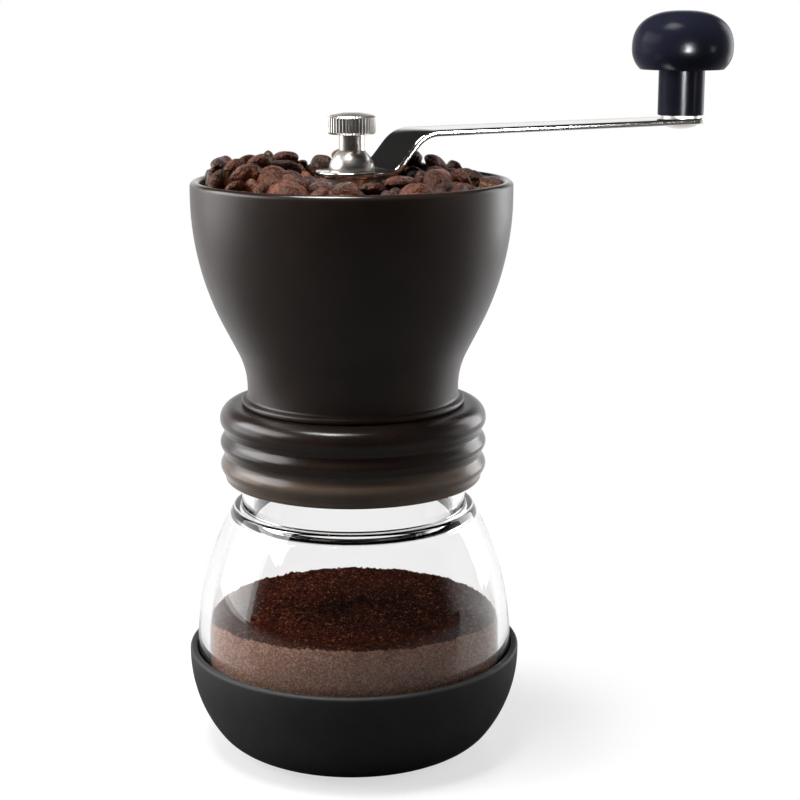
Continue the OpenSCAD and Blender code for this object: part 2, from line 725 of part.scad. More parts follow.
// The crank's strap seen from the side, with its two bends
module strap_side() {
    low_outer_r = low_bend_r + strap_t;
    high_outer_r = high_bend_r + strap_t;
    bend_rise = (low_bend_r + high_outer_r) * (1 - cos(crank_slope));
    bend_run = (low_bend_r + high_outer_r) * sin(crank_slope);
    slope_run = (crank_climb - bend_rise) / tan(crank_slope);
    low = [hub_flat, hub_top_z + low_bend_r];
    high = [hub_flat + bend_run + slope_run, strap_top_z - high_outer_r];
    polygon(concat(
        [[-hub_r - 1, hub_top_z]],
        arc(low, low_bend_r, -90, crank_slope - 90, 8),
        arc(high, high_outer_r, 90 + crank_slope, 90, 10),
        [[crank_len + strap_w, strap_top_z], [crank_len + strap_w, strap_top_z - strap_t]],
        arc(high, high_bend_r, 90, 90 + crank_slope, 10),
        arc(low, low_outer_r, crank_slope - 90, -90, 8),
        [[-hub_r - 1, hub_z]]));
}

module crank_arm() {
    color(STEEL) difference() {
        intersection() {
            translate([0, strap_w, 0]) rotate([90, 0, 0])
                linear_extrude(height = 2 * strap_w) strap_side();
            translate([0, 0, hub_z - 1]) linear_extrude(height = strap_top_z - hub_z + 2) union() {
                circle(r = hub_r);
                polygon([[0, -strap_w / 2], [crank_len, -strap_end_w / 2],
                    [crank_len, strap_end_w / 2], [0, strap_w / 2]]);
                translate([crank_len, 0]) circle(r = strap_end_w / 2);
            }
        }
        flatted(hub_z - 1, strap_t + 2, seat_play);
        translate([crank_len, 0, strap_top_z - strap_t - 1]) cylinder(r = pin_r + eps, h = strap_t + 2);
    }
}

module top_nut() {
    top_z = hub_top_z + top_nut_h;
    head_z = top_z - top_nut_head_h;
    edge = 0.3;
    chamfer = 0.5;
    crown = 0.7;
    dome_power = 1.9;
    bore_h = upper_tip_h + 0.4;
    color(STEEL) difference() {
        turned(concat(
            [[0, hub_top_z], [top_nut_foot_r - edge, hub_top_z]],
            [for (i = [1:10]) let (t = i / 10)
                [top_nut_waist_r + (top_nut_foot_r - top_nut_waist_r) * (1 - pow(t, dome_power)),
                hub_top_z + top_nut_foot_h * t]],
            [[top_nut_waist_r, head_z], [top_nut_head_r - chamfer, head_z],
            [top_nut_head_r, head_z + chamfer], [top_nut_head_r, top_z - crown - chamfer],
            [top_nut_head_r - chamfer, top_z - crown], [top_nut_head_r / 2, top_z - crown / 4],
            [0, top_z]]));
        translate([0, 0, hub_top_z - 1]) cylinder(r = tip_r + eps, h = bore_h + 1);
        around(knurls, top_nut_head_r) translate([0, 0, head_z - 1]) rotate([0, 0, 45])
            translate([-0.22, -0.22, 0]) cube([0.44, 0.44, top_nut_head_h + 2]);
    }
}

module spring() {
    sides = 8;
    steps_per_turn = 16;
    n = round(spring_turns * steps_per_turn);
    low = spring_z + spring_wire_r;
    rise = spring_top_z - spring_z - 2 * spring_wire_r;
    points = [for (i = [0:n], j = [0:sides - 1])
        let (a = i * 360 / steps_per_turn, b = j * 360 / sides, r = spring_r + spring_wire_r * cos(b))
        [r * cos(a), r * sin(a), low + rise * i / n + spring_wire_r * sin(b)]];
    walls = [for (i = [0:n - 1], j = [0:sides - 1]) let (k = (j + 1) % sides)
        [sides * i + j, sides * i + k, sides * (i + 1) + k, sides * (i + 1) + j]];
    ends = [[for (j = [sides - 1:-1:0]) j], [for (j = [0:sides - 1]) sides * n + j]];
    color(STEEL) polyhedron(points, concat(walls, ends));
}

module spring_washer() {
    color(STEEL) ring(nose_r - 0.4, loose_bore_r, inner_burr_top_z, washer_t);
}

// The keys that drive the inner burr, grown by a play
module keys(play = 0) {
    for (a = [0, 180]) rotate([0, 0, a])
        translate([shaft_r + 2 - play, -key_w / 2 - play, inner_burr_z - eps])
        cube([carrier_r - shaft_r - 3 + 2 * play, key_w + 2 * play, key_h + play + eps]);
}

module inner_burr() {
    fine_z = inner_burr_z + inner_burr_drop + fine_h;
    coarse_z = fine_z + coarse_h;
    color(CERAMIC) difference() {
        turned([[0, inner_burr_z], [inner_burr_r, inner_burr_z],
            [inner_burr_r, inner_burr_z + inner_burr_drop], [fine_top_r, fine_z],
            [nose_r + 0.5, coarse_z], [nose_r, inner_burr_top_z], [0, inner_burr_top_z]]);
        translate([0, 0, inner_burr_z - 1]) cylinder(r = loose_bore_r, h = inner_burr_h + 2);
        keys(seat_play);
        around(inner_grooves) translate([(fine_top_r + nose_r) / 2, 0, (fine_z + coarse_z) / 2])
            rotate([2 * groove_lean, -atan((fine_top_r - nose_r) / coarse_h), 0])
            translate([0, -groove_w / 2, -coarse_h])
            cube([groove_d * 4, groove_w, 2 * coarse_h]);
    }
}

module burr_carrier() {
    color(BLACK) union() {
        difference() {
            translate([0, 0, carrier_z]) cylinder(r = carrier_r, h = carrier_t);
            flatted(carrier_z - 1, carrier_t + 2, seat_play);
        }
        keys();
    }
}

module burr_lock_washer() {
    color(STEEL) ring(burr_nut_af / 2 + 0.8, tip_r + seat_play, carrier_z - washer_t, washer_t);
}

module burr_nut() {
    color(STEEL) translate([0, 0, burr_nut_z]) difference() {
        cylinder(r = burr_nut_af / sqrt(3), h = burr_nut_h, $fn = 6);
        translate([0, 0, -1]) cylinder(r = tip_r + eps, h = burr_nut_h + 2);
    }
}

module knob_pin() {
    under_z = strap_top_z - strap_t;
    collar_at_z = widest_z;
    color(STEEL) translate([crank_len, 0, 0]) union() {
        turned([[0, under_z - pin_head_h], [pin_head_r - 1.4, under_z - pin_head_h],
            [pin_head_r, under_z - pin_head_h / 2], [pin_head_r, under_z], [0, under_z]]);
        translate([0, 0, under_z - 0.5])
            cylinder(r = pin_r, h = collar_at_z + pin_collar_h - under_z + 0.5);
        translate([0, 0, collar_at_z]) cylinder(r = pin_collar_r, h = pin_collar_h);
    }
}

module knob_washer() {
    color(STEEL) translate([crank_len, 0, 0])
        ring(stem_r - 1, pin_r + seat_play, strap_top_z, knob_washer_t);
}

module crank_knob() {
    cap_low_r = knob_r - knob_low_r + sqrt(knob_low_r * knob_low_r - knob_low_h * knob_low_h);
    cap_steps = 20;
    pocket_gap = 0.15;
    color(KNOB) translate([crank_len, 0, 0]) difference() {
        turned(concat(
            [[0, knob_z], [stem_r - 0.5, knob_z], [stem_r, knob_z + 0.5], [stem_r, cap_z]],
            arc([knob_r - knob_low_r, widest_z], knob_low_r,
                -asin(knob_low_h / knob_low_r), 0, 10),
            [for (i = [1:cap_steps]) let (a = 90 * i / cap_steps)
                [knob_r * pow(cos(a), 2 / knob_power),
                widest_z + knob_top_h * pow(sin(a), 2 / knob_power)]]));
        translate([0, 0, knob_z - 1]) cylinder(r = pin_bore_r, h = widest_z - knob_z + 1);
        translate([0, 0, widest_z - pocket_gap])
            cylinder(r = pin_collar_r + pocket_gap, h = pin_collar_h + 2 * pocket_gap);
    }
}

rubber_base();
glass_jar();
seal_ring();
collar();
collar_screws();
hopper();
upper_bushing();
lower_bushing();
outer_burr();
burr_retainer();
retainer_screws();
thrust_washer();
adjuster_nut();
lock_plate();
drive_shaft();
crank_arm();
top_nut();
spring();
spring_washer();
inner_burr();
burr_carrier();
burr_lock_washer();
burr_nut();
knob_pin();
knob_washer();
crank_knob();
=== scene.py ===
"""Looks of the hand crank coffee grinder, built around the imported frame.

Every length is in metres. The overall heights and radii come from the frame's
boxes. What the boxes do not give, such as walls and roundings, stands where it
is used, as a number of MM.
"""

import json
import math

import bmesh
import bpy
import numpy as np
from mathutils import Matrix, Vector


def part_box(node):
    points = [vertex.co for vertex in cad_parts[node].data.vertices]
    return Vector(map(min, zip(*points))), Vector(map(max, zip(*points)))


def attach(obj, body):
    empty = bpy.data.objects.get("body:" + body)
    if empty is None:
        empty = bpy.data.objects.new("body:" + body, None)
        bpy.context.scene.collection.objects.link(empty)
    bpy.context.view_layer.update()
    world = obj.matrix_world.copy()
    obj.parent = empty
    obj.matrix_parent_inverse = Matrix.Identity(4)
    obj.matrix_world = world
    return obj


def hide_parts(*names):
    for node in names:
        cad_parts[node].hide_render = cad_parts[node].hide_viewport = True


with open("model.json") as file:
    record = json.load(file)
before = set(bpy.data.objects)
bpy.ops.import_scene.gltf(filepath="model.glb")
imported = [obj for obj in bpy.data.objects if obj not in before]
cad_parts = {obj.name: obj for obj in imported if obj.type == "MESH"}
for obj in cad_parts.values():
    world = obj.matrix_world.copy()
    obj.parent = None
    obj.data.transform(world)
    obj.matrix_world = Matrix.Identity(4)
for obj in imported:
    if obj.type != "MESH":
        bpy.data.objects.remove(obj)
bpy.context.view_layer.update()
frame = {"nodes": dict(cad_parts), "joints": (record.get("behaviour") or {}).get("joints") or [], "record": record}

MM = 0.001
ROUND_STEPS = 192
SHARP_ANGLE = 35
CAMERA_AZIMUTH = -30.0


# ---------------------------------------------------------------- outlines in the (r, z) plane

def arc(centre, radius, start, end, steps=12):
    """Points of an arc, with its angles in degrees."""
    points = []
    for i in range(steps + 1):
        a = math.radians(start + (end - start) * i / steps)
        points.append((centre[0] + radius * math.cos(a), centre[1] + radius * math.sin(a)))
    return points


def nested(side_radius, radius, drop):
    """Distance between the axes of a circle and a larger one that it touches from inside."""
    return math.sqrt((side_radius - radius) ** 2 - drop ** 2)


def fillet(corners, steps=5):
    """An outline whose corners (r, z, rounding) are rounded by that much."""
    points = []
    count = len(corners)
    for i, (r, z, rounding) in enumerate(corners):
        here = Vector((r, z))
        if rounding <= 0 or i in (0, count - 1):
            points.append((r, z))
            continue
        before = Vector(corners[i - 1][:2]) - here
        after = Vector(corners[i + 1][:2]) - here
        turn = before.angle(after)
        cut = min(rounding / math.tan(turn / 2), before.length / 2, after.length / 2)
        start = here + before.normalized() * cut
        end = here + after.normalized() * cut
        for k in range(steps + 1):
            t = k / steps
            p = start * (1 - t) ** 2 + here * 2 * t * (1 - t) + end * t ** 2
            points.append((p.x, p.y))
    return points


def tidy(points, gap=0.002 * MM):
    """The same outline without points that lie on the one before."""
    kept = [points[0]]
    for p in points[1:]:
        if math.hypot(p[0] - kept[-1][0], p[1] - kept[-1][1]) > gap:
            kept.append(p)
    return kept


# ---------------------------------------------------------------- meshes

def smooth(mesh, sharp=SHARP_ANGLE):
    """Smooth shading, with hard edges only where faces meet at more than sharp degrees."""
    mesh.polygons.foreach_set("use_smooth", [True] * len(mesh.polygons))
    mesh.set_sharp_from_angle(angle=math.radians(sharp))


def new_object(name, verts, faces, sharp=SHARP_ANGLE):
    """A smooth mesh object in the scene, with its normals outwards."""
    mesh = bpy.data.meshes.new(name)
    mesh.from_pydata(verts, [], faces)
    bm = bmesh.new()
    bm.from_mesh(mesh)
    bmesh.ops.remove_doubles(bm, verts=bm.verts, dist=0.0005 * MM)
    bmesh.ops.recalc_face_normals(bm, faces=bm.faces)
    bm.to_mesh(mesh)
    bm.free()
    mesh.update()
    smooth(mesh, sharp)
    obj = bpy.data.objects.new(name, mesh)
    bpy.context.scene.collection.objects.link(obj)
    return obj


def lathe(name, points, closed=False, axis=(0, 0), steps=ROUND_STEPS, shape=None, sharp=SHARP_ANGLE):
    """A solid of revolution. shape(r, z, angle) may move a point's radius; closed joins the ends."""
    points = tidy(points)
    verts, rings = [], []
    for r, z in points:
        if r < 1e-7:
            rings.append([len(verts)])
            verts.append((axis[0], axis[1], z))
            continue
        ring = []
        for k in range(steps):
            a = 2 * math.pi * k / steps
            q = shape(r, z, a) if shape else r
            ring.append(len(verts))
            verts.append((axis[0] + q * math.cos(a), axis[1] + q * math.sin(a), z))
        rings.append(ring)
    pairs = list(zip(rings, rings[1:]))
    if closed:
        pairs.append((rings[-1], rings[0]))
    faces = []
    for low, high in pairs:
        for k in range(steps):
            n = (k + 1) % steps
            if len(low) == 1 and len(high) == 1:
                continue
            if len(low) == 1:
                faces.append((low[0], high[n], high[k]))
            elif len(high) == 1:
                faces.append((low[k], low[n], high[0]))
            else:
                faces.append((low[k], low[n], high[n], high[k]))
    return new_object(name, verts, faces, sharp)


def block(name, low, high, turn=0):
    """A box between two corners, turned about the vertical axis by turn degrees."""
    corners = [(x, y, z) for x in (low[0], high[0]) for y in (low[1], high[1]) for z in (low[2], high[2])]
    faces = [(0, 1, 3, 2), (4, 6, 7, 5), (0, 4, 5, 1), (2, 3, 7, 6), (0, 2, 6, 4), (1, 5, 7, 3)]
    obj = new_object(name, corners, faces)
    obj.data.transform(Matrix.Rotation(math.radians(turn), 4, "Z"))
    return obj


def combine(obj, tool, operation):
    """obj joined with or cut by tool, which is then gone."""
    modifier = obj.modifiers.new("combine", "BOOLEAN")
    modifier.operation = operation
    modifier.solver = "EXACT"
    modifier.object = tool
    bpy.context.view_layer.update()
    graph = bpy.context.evaluated_depsgraph_get()
    mesh = bpy.data.meshes.new_from_object(obj.evaluated_get(graph))
    obj.modifiers.remove(modifier)
    old = obj.data
    obj.data = mesh
    bpy.data.meshes.remove(old)
    bpy.data.objects.remove(tool)
    mesh.name = obj.name
    smooth(mesh)


# ---------------------------------------------------------------- sizes from the frame

base_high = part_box("rubber_base")[1]
jar_low, jar_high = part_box("glass_jar")
collar_low, collar_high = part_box("collar")
hopper_low, hopper_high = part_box("hopper")
arm_low, arm_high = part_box("crank_arm")
nut_low, nut_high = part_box("top_nut")
knob_low, knob_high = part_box("crank_knob")
pin_low, pin_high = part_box("knob_pin")
seal_low, seal_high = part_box("seal_ring")
adjuster_low, adjuster_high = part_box("adjuster_nut")

LIP_Z = base_high.z
BASE_R = base_high.y
JAR_Z = jar_low.z
JAR_R = jar_high.x
JAR_RIM_Z = jar_high.z
COLLAR_Z = collar_low.z
COLLAR_TOP_Z = collar_high.z
RIB_R = collar_high.x
SLEEVE_Z = hopper_low.z
RIM_Z = hopper_high.z
BELLY_R = hopper_high.x
HUB_Z = arm_low.z
STRAP_TOP_Z = arm_high.z
KNOB_X = next(j for j in frame["joints"] if j["name"] == "knob_spin")["pos_m"][0]

WAIST_Z = JAR_Z + 24 * MM
NECK_R = 30.8 * MM
SHELF_Z = JAR_RIM_Z - 21.5 * MM
GLASS = 3.2 * MM


# ---------------------------------------------------------------- materials

def feed(tree, socket, value):
    """Links value to the socket where it is another socket, or else sets it."""
    if isinstance(value, bpy.types.NodeSocket):
        tree.links.new(value, socket)
    else:
        socket.default_value = value


class Surface:
    """A procedural material that is built up node by node."""

    def __init__(self, name, base, roughness, metallic=0.0):
        self.material = bpy.data.materials.new(name)
        self.material.use_nodes = True
        self.tree = self.material.node_tree
        self.shader = self.tree.nodes["Principled BSDF"]
        self.shader.inputs["Base Color"].default_value = (*base, 1)
        self.shader.inputs["Roughness"].default_value = roughness
        self.shader.inputs["Metallic"].default_value = metallic
        coords = self.tree.nodes.new("ShaderNodeTexCoord")
        self.coords = coords.outputs["Object"]

    def node(self, kind, inputs=(), **settings):
        made = self.tree.nodes.new(kind)
        for key, value in settings.items():
            setattr(made, key, value)
        for key, value in dict(inputs).items():
            feed(self.tree, made.inputs[key], value)
        return made

    def stretched(self, scale):
        """The object's coordinates, scaled by axis."""
        return self.node("ShaderNodeMapping", {"Vector": self.coords, "Scale": scale}).outputs[0]

    def noise(self, size, detail=4.0, rough=0.55, vector=None):
        """Noise whose features are about size metres across."""
        made = self.node("ShaderNodeTexNoise", {
            "Vector": vector or self.coords, "Scale": 1 / size, "Detail": detail, "Roughness": rough})
        return made.outputs["Fac"]

    def ramp(self, value, stops):
        """A colour ramp through the stops (position, colour)."""
        made = self.node("ShaderNodeValToRGB", {"Fac": value})
        elements = made.color_ramp.elements
        while len(elements) < len(stops):
            elements.new(0.5)
        for element, (position, colour) in zip(elements, stops):
            element.position = position
            element.color = (*colour, 1)
        return made.outputs["Color"]

    def between(self, value, low, high):
        """value, from 0 to 1, spread over low to high."""
        made = self.node("ShaderNodeMapRange", {"Value": value, "To Min": low, "To Max": high})
        return made.outputs[0]

    def rise(self, value, start, end):
        """0 where value is at start, 1 where it is at end, and straight between them."""
        made = self.node("ShaderNodeMapRange", {"Value": value, "From Min": start, "From Max": end})
        return made.outputs[0]

    def blend(self, factor, a, b):
        """A number that goes from a to b."""
        return self.node("ShaderNodeMix", {0: factor, 2: a, 3: b}).outputs[0]

    def attribute(self, name):
        return self.node("ShaderNodeAttribute", attribute_name=name).outputs["Fac"]

    def mix(self, factor, a, b):
        """A colour that goes from a to b."""
        return self.node("ShaderNodeMix", {0: factor, 6: a, 7: b}, data_type="RGBA").outputs[2]

    def use(self, **inputs):
        """Links or sets the shader's own inputs, with spaces written as underscores."""
        for key, value in inputs.items():
            feed(self.tree, self.shader.inputs[key.replace("_", " ")], value)

    def bump(self, height, distance, strength=1.0):
        """Adds relief of distance metres; a second call lies on top of the first."""
        inputs = {"Height": height, "Distance": distance, "Strength": strength}
        socket = self.shader.inputs["Normal"]
        if socket.links:
            inputs["Normal"] = socket.links[0].from_socket
        made = self.node("ShaderNodeBump", inputs)
        self.tree.links.new(made.outputs[0], socket)


def rubber_material():
    s = Surface("rubber", (0.02, 0.02, 0.02), 0.6)
    dust = s.noise(9 * MM, 6, 0.65)
    s.use(Base_Color=s.ramp(dust, [(0.3, (0.0095, 0.009, 0.009)), (0.75, (0.015, 0.0142, 0.0138))]))
    s.use(Roughness=s.between(s.noise(3 * MM, 5), 0.5, 0.68), Specular_IOR_Level=0.35)
    s.bump(s.noise(0.25 * MM, 3), 0.03 * MM, 0.5)
    s.bump(s.noise(6 * MM, 2), 0.1 * MM, 0.25)
    return s.material


def shell_material():
    """Dark plastic: a painted brown reflection low on the collar, satin on its ribs, matt above them, glossy on
    the rim.
    """
    s = Surface("shell", (0.022, 0.018, 0.0155), 0.36)
    cloud = s.noise(16 * MM, 5, 0.6)
    plain = s.ramp(cloud, [(0.3, (0.011, 0.0067, 0.0053)), (0.75, (0.02, 0.0122, 0.0093))])
    # Painted reflection: the lowest rib of the collar is coloured brown, as if it reflected the coffee below it.
    painted_reflection = s.ramp(cloud, [(0.3, (0.065, 0.046, 0.034)), (0.75, (0.095, 0.068, 0.052))])
    height = s.node("ShaderNodeSeparateXYZ", {0: s.coords}).outputs[2]
    low_rib_reflection = s.rise(height, COLLAR_Z + 9 * MM, COLLAR_Z + 6 * MM)
    s.use(Base_Color=s.mix(low_rib_reflection, plain, painted_reflection))
    above_collar = s.rise(height, COLLAR_TOP_Z - 1 * MM, COLLAR_TOP_Z + 1 * MM)
    matt = s.between(s.noise(5 * MM, 6), 0.31, 0.41)
    satin = s.between(s.noise(5 * MM, 6), 0.2, 0.27)
    rim = s.rise(height, RIM_Z - 0.9 * MM, RIM_Z - 0.2 * MM)
    s.use(Roughness=s.blend(rim, s.blend(above_collar, satin, matt), 0.13))
    s.use(Specular_IOR_Level=0.4)
    s.bump(s.noise(0.3 * MM, 2), 0.012 * MM, 0.5)
    return s.material


def glass_material():
    s = Surface("glass", (1.0, 1.0, 1.0), 0.0)
    s.use(Transmission_Weight=1.0, IOR=1.5, Specular_IOR_Level=0.5)
    s.bump(s.noise(14 * MM, 2), 0.12 * MM, 0.35)
    return s.material


def seal_material():
    s = Surface("seal", (0.55, 0.54, 0.5), 0.5)
    s.use(Base_Color=s.ramp(s.noise(4 * MM), [(0.3, (0.5, 0.49, 0.45)), (0.8, (0.6, 0.59, 0.55))]))
    s.use(Subsurface_Weight=0.1, Subsurface_Radius=(0.002, 0.002, 0.002))
    return s.material


def steel_material(name, base, roughness, grain):
    """Steel whose grain lines run where the scales of grain are small."""
    s = Surface(name, base, roughness, 1.0)
    lines = s.noise(1.0, 6, 0.6, s.stretched(grain))
    s.use(Roughness=s.between(lines, roughness * 0.75, roughness * 1.3))
    tone = tuple(0.86 * c for c in base)
    s.use(Base_Color=s.ramp(s.noise(1.0, 3, 0.5, s.stretched(grain)), [(0.3, tone), (0.7, base)]))
    s.bump(lines, 0.01 * MM, 0.5)
    return s.material


def ceramic_material():
    s = Surface("ceramic", (0.82, 0.8, 0.74), 0.42)
    s.use(Base_Color=s.ramp(s.noise(3 * MM, 6), [(0.3, (0.74, 0.71, 0.64)), (0.7, (0.85, 0.83, 0.78))]))
    s.bump(s.noise(0.4 * MM, 3), 0.03 * MM, 0.5)
    return s.material


def black_material():
    s = Surface("black_plastic", (0.02, 0.02, 0.021), 0.45)
    s.use(Base_Color=s.ramp(s.noise(5 * MM), [(0.3, (0.016, 0.016, 0.017)), (0.8, (0.028, 0.028, 0.029))]))
    s.bump(s.noise(0.3 * MM, 2), 0.02 * MM, 0.5)
    return s.material


def knob_material():
    s = Surface("knob_plastic", (0.012, 0.014, 0.027), 0.2)
    cloud = s.noise(12 * MM, 3)
    s.use(Base_Color=s.ramp(cloud, [(0.3, (0.007, 0.0075, 0.0135)), (0.75, (0.009, 0.0096, 0.0175))]))
    s.use(Roughness=s.between(s.noise(4 * MM, 5), 0.2, 0.26), Specular_IOR_Level=0.03)
    s.bump(s.noise(5 * MM, 2), 0.02 * MM, 0.3)
    return s.material


MATERIALS = {
    "rubber": rubber_material(),
    "shell": shell_material(),
    "glass": glass_material(),
    "seal": seal_material(),
    "steel": steel_material("steel", (0.66, 0.63, 0.59), 0.3, (300, 300, 4000)),
    "crank_steel": steel_material("crank_steel", (0.74, 0.72, 0.69), 0.1, (60, 5000, 5000)),
    "ceramic": ceramic_material(),
    "black_plastic": black_material(),
    "knob_plastic": knob_material(),
}


def finish_piece(obj, body, slot, *nodes):
    """Gives a new piece its material and its body, and hides the CAD nodes that it stands for."""
    obj.data.materials.clear()
    obj.data.materials.append(MATERIALS[slot])
    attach(obj, body)
    if nodes:
        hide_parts(*nodes)
    return obj


# ---------------------------------------------------------------- pieces of the mill

THREAD_TOP_Z = JAR_RIM_Z - 5 * MM
THREAD_PITCH, THREAD_TURNS, THREAD_DEPTH = 5 * MM, 1.25, 0.95 * MM
HOPPER_NECK_R = 28.75 * MM
HOPPER_WALL = 2.8 * MM


def jar_side(inset):
    """The jar's outline from its underside to the start of the shoulder, drawn inwards."""
    lower, corner, bend = 34 * MM, 10 * MM, 1.2 * MM
    shoulder_run = JAR_R - NECK_R - 1.5 * MM
    shoulder_rise = SHELF_Z - bend - WAIST_Z
    upper = (shoulder_run ** 2 - bend ** 2 + shoulder_rise ** 2) / (2 * (shoulder_run - bend))
    drop = WAIST_Z - JAR_Z - corner
    lean = math.degrees(math.asin(drop / (lower - corner)))
    shoulder_r = bend + inset / 2
    shoulder_z = SHELF_Z - inset - shoulder_r
    rise = shoulder_z - WAIST_Z
    top = math.degrees(math.asin(rise / (upper - inset - shoulder_r)))
    return (arc((JAR_R - lower + nested(lower, corner, drop), JAR_Z + corner), corner - inset, -90, -lean)
            + arc((JAR_R - lower, WAIST_Z), lower - inset, -lean, 0)
            + arc((JAR_R - upper, WAIST_Z), upper - inset, 0, top, 24)
            + arc((JAR_R - upper + nested(upper - inset, shoulder_r, rise), shoulder_z), shoulder_r, top, 90))


def thread_shape(base_r, z_start, width, side):
    """Moves the points of a cylinder of radius base_r out (side 1) or in (-1), to form a helical ridge."""
    run_in = 0.12

    def shape(r, z, angle):
        if abs(r - base_r) > 0.01 * MM:
            return r
        height = 0.0
        for lap in range(-1, 3):
            turn = angle / (2 * math.pi) + lap
            if 0 <= turn <= THREAD_TURNS:
                gap = abs(z - z_start - THREAD_PITCH * turn) / (width / 2)
                fade = min(1.0, turn / run_in, (THREAD_TURNS - turn) / run_in)
                height = max(height, fade * THREAD_DEPTH * max(0.0, 1 - gap ** 2) ** 0.7)
        return r + side * height
    return shape


def make_base():
    foot_curve, corner, rounding = 36 * MM, 12 * MM, 0.9 * MM
    bulge_z = LIP_Z - 2 * rounding
    lean = math.degrees(math.asin((bulge_z - corner) / (foot_curve - corner)))
    corner_at = BASE_R - foot_curve + nested(foot_curve, corner, bulge_z - corner)
    gap = 0.3 * MM
    groove_in, groove_out, groove_d = 18 * MM, 26 * MM, 1 * MM
    soft = 0.35 * MM
    under = fillet([(0, 0, 0), (groove_in, 0, soft), (groove_in, groove_d, soft),
                    (groove_out, groove_d, soft), (groove_out, 0, soft), (corner_at, 0, 0)])
    outside = (arc((corner_at, corner), corner, -90, -lean)
               + arc((BASE_R - foot_curve, bulge_z), foot_curve, -lean, 0, 24)
               + arc((BASE_R - rounding, LIP_Z - rounding), rounding, 0, 90, 8))
    lip_in = JAR_R + gap
    inside = [p for p in jar_side(-gap) if JAR_Z < p[1] < WAIST_Z]
    lip = fillet([(BASE_R - rounding, LIP_Z, 0), (lip_in, LIP_Z, 0.45 * MM), (lip_in, inside[-1][1], 0)])
    floor_z = JAR_Z - 0.02 * MM
    floor = [(inside[0][0] - 1.5 * MM, floor_z), (0, floor_z)]
    obj = lathe("rubber_foot", under + outside + lip + inside[::-1] + floor)
    finish_piece(obj, "foot", "rubber", "rubber_base")


def make_jar():
    wall, rounding, curve = 3.5 * MM, 1.1 * MM, 0.5 * MM
    mouth_r = NECK_R - wall
    neck = [(NECK_R, z) for z in np.linspace(SHELF_Z + curve, JAR_RIM_Z - rounding, 100)]
    outside = (jar_side(0)
               + arc((NECK_R + curve, SHELF_Z + curve), curve, -90, -180, 8)
               + neck
               + arc((NECK_R - rounding, JAR_RIM_Z - rounding), rounding, 0, 90, 8))
    inside = (jar_side(GLASS)
              + arc((mouth_r + curve, SHELF_Z - GLASS + curve), curve, -90, -180, 8)
              + arc((mouth_r + rounding, JAR_RIM_Z - rounding), rounding, 180, 90, 8))
    outline = [(0, JAR_Z)] + outside + inside[::-1] + [(0, JAR_Z + GLASS)]
    shape = thread_shape(NECK_R, THREAD_TOP_Z - THREAD_TURNS * THREAD_PITCH, 2.2 * MM, 1)
    obj = lathe("jar_glass", outline, shape=shape, sharp=60)
    finish_piece(obj, "jar", "glass", "glass_jar")


def make_seal():
    r_in, r_out = 27.85 * MM, seal_high.x
    low, high, soft = seal_low.z, seal_high.z, 0.5 * MM
    corners = [(r_in, (low + high) / 2, 0), (r_in, low, soft), (r_out, low, soft),
               (r_out, high, soft), (r_in, high, soft), (r_in, (low + high) / 2, 0)]
    obj = lathe("seal_gasket", fillet(corners)[:-1], closed=True)
    finish_piece(obj, "seal", "seal", "seal_ring")


def make_collar():
    inner_r, rib_h, pitch, ribs = 32.1 * MM, 1.25 * MM, 6.24 * MM, 3
    groove_r = RIB_R - rib_h
    rounding, low_round = 4 * MM, 1 * MM
    web_z = COLLAR_TOP_Z - 5.5 * MM
    top_rib_z = COLLAR_TOP_Z - rounding - 0.3 * MM
    first_z = top_rib_z - (ribs - 1) * pitch
    steps = 60
    wave = []
    for i in range(steps + 1):
        t = (ribs - 0.5) * i / steps
        crest = (1 - math.cos(2 * math.pi * t)) / 2
        wave.append((groove_r + rib_h * crest ** 0.85, first_z + pitch * (t - 0.5)))
    outside = (arc((groove_r - low_round, COLLAR_Z + low_round), low_round, -90, 0, 8)
               + wave
               + arc((RIB_R - rounding, COLLAR_TOP_Z - rounding), rounding, 0, 90, 14))
    bore_r = 25.4 * MM
    soft = 0.4 * MM
    top = fillet([(RIB_R - rounding, COLLAR_TOP_Z, 0), (bore_r, COLLAR_TOP_Z, soft),
                  (bore_r, web_z, soft), (inner_r, web_z, soft), (inner_r, web_z - 2 * soft, 0)])
    bore = [(inner_r, z) for z in np.linspace(web_z - 2 * soft, COLLAR_Z + soft, 90)]
    mouth = arc((inner_r + soft, COLLAR_Z + soft), soft, 180, 270, 5)
    shape = thread_shape(inner_r, THREAD_TOP_Z - (THREAD_TURNS - 0.5) * THREAD_PITCH, 1.9 * MM, -1)
    obj = lathe("ribbed_collar", outside + top + bore + mouth, closed=True, shape=shape)
    finish_piece(obj, "head", "shell", "collar")


def hopper_side(inset):
    """The hopper's outline from its neck to its widest place, drawn inwards."""
    neck_z, belly_z = COLLAR_TOP_Z + 4.5 * MM, RIM_Z - 4.1 * MM
    cove, bulge, lean = 22 * MM, 77.2 * MM, 27
    return (arc((HOPPER_NECK_R + cove, neck_z), cove + inset, 180, 180 - lean, 16)
            + arc((BELLY_R - bulge, belly_z), bulge - inset, -lean, 0, 40))


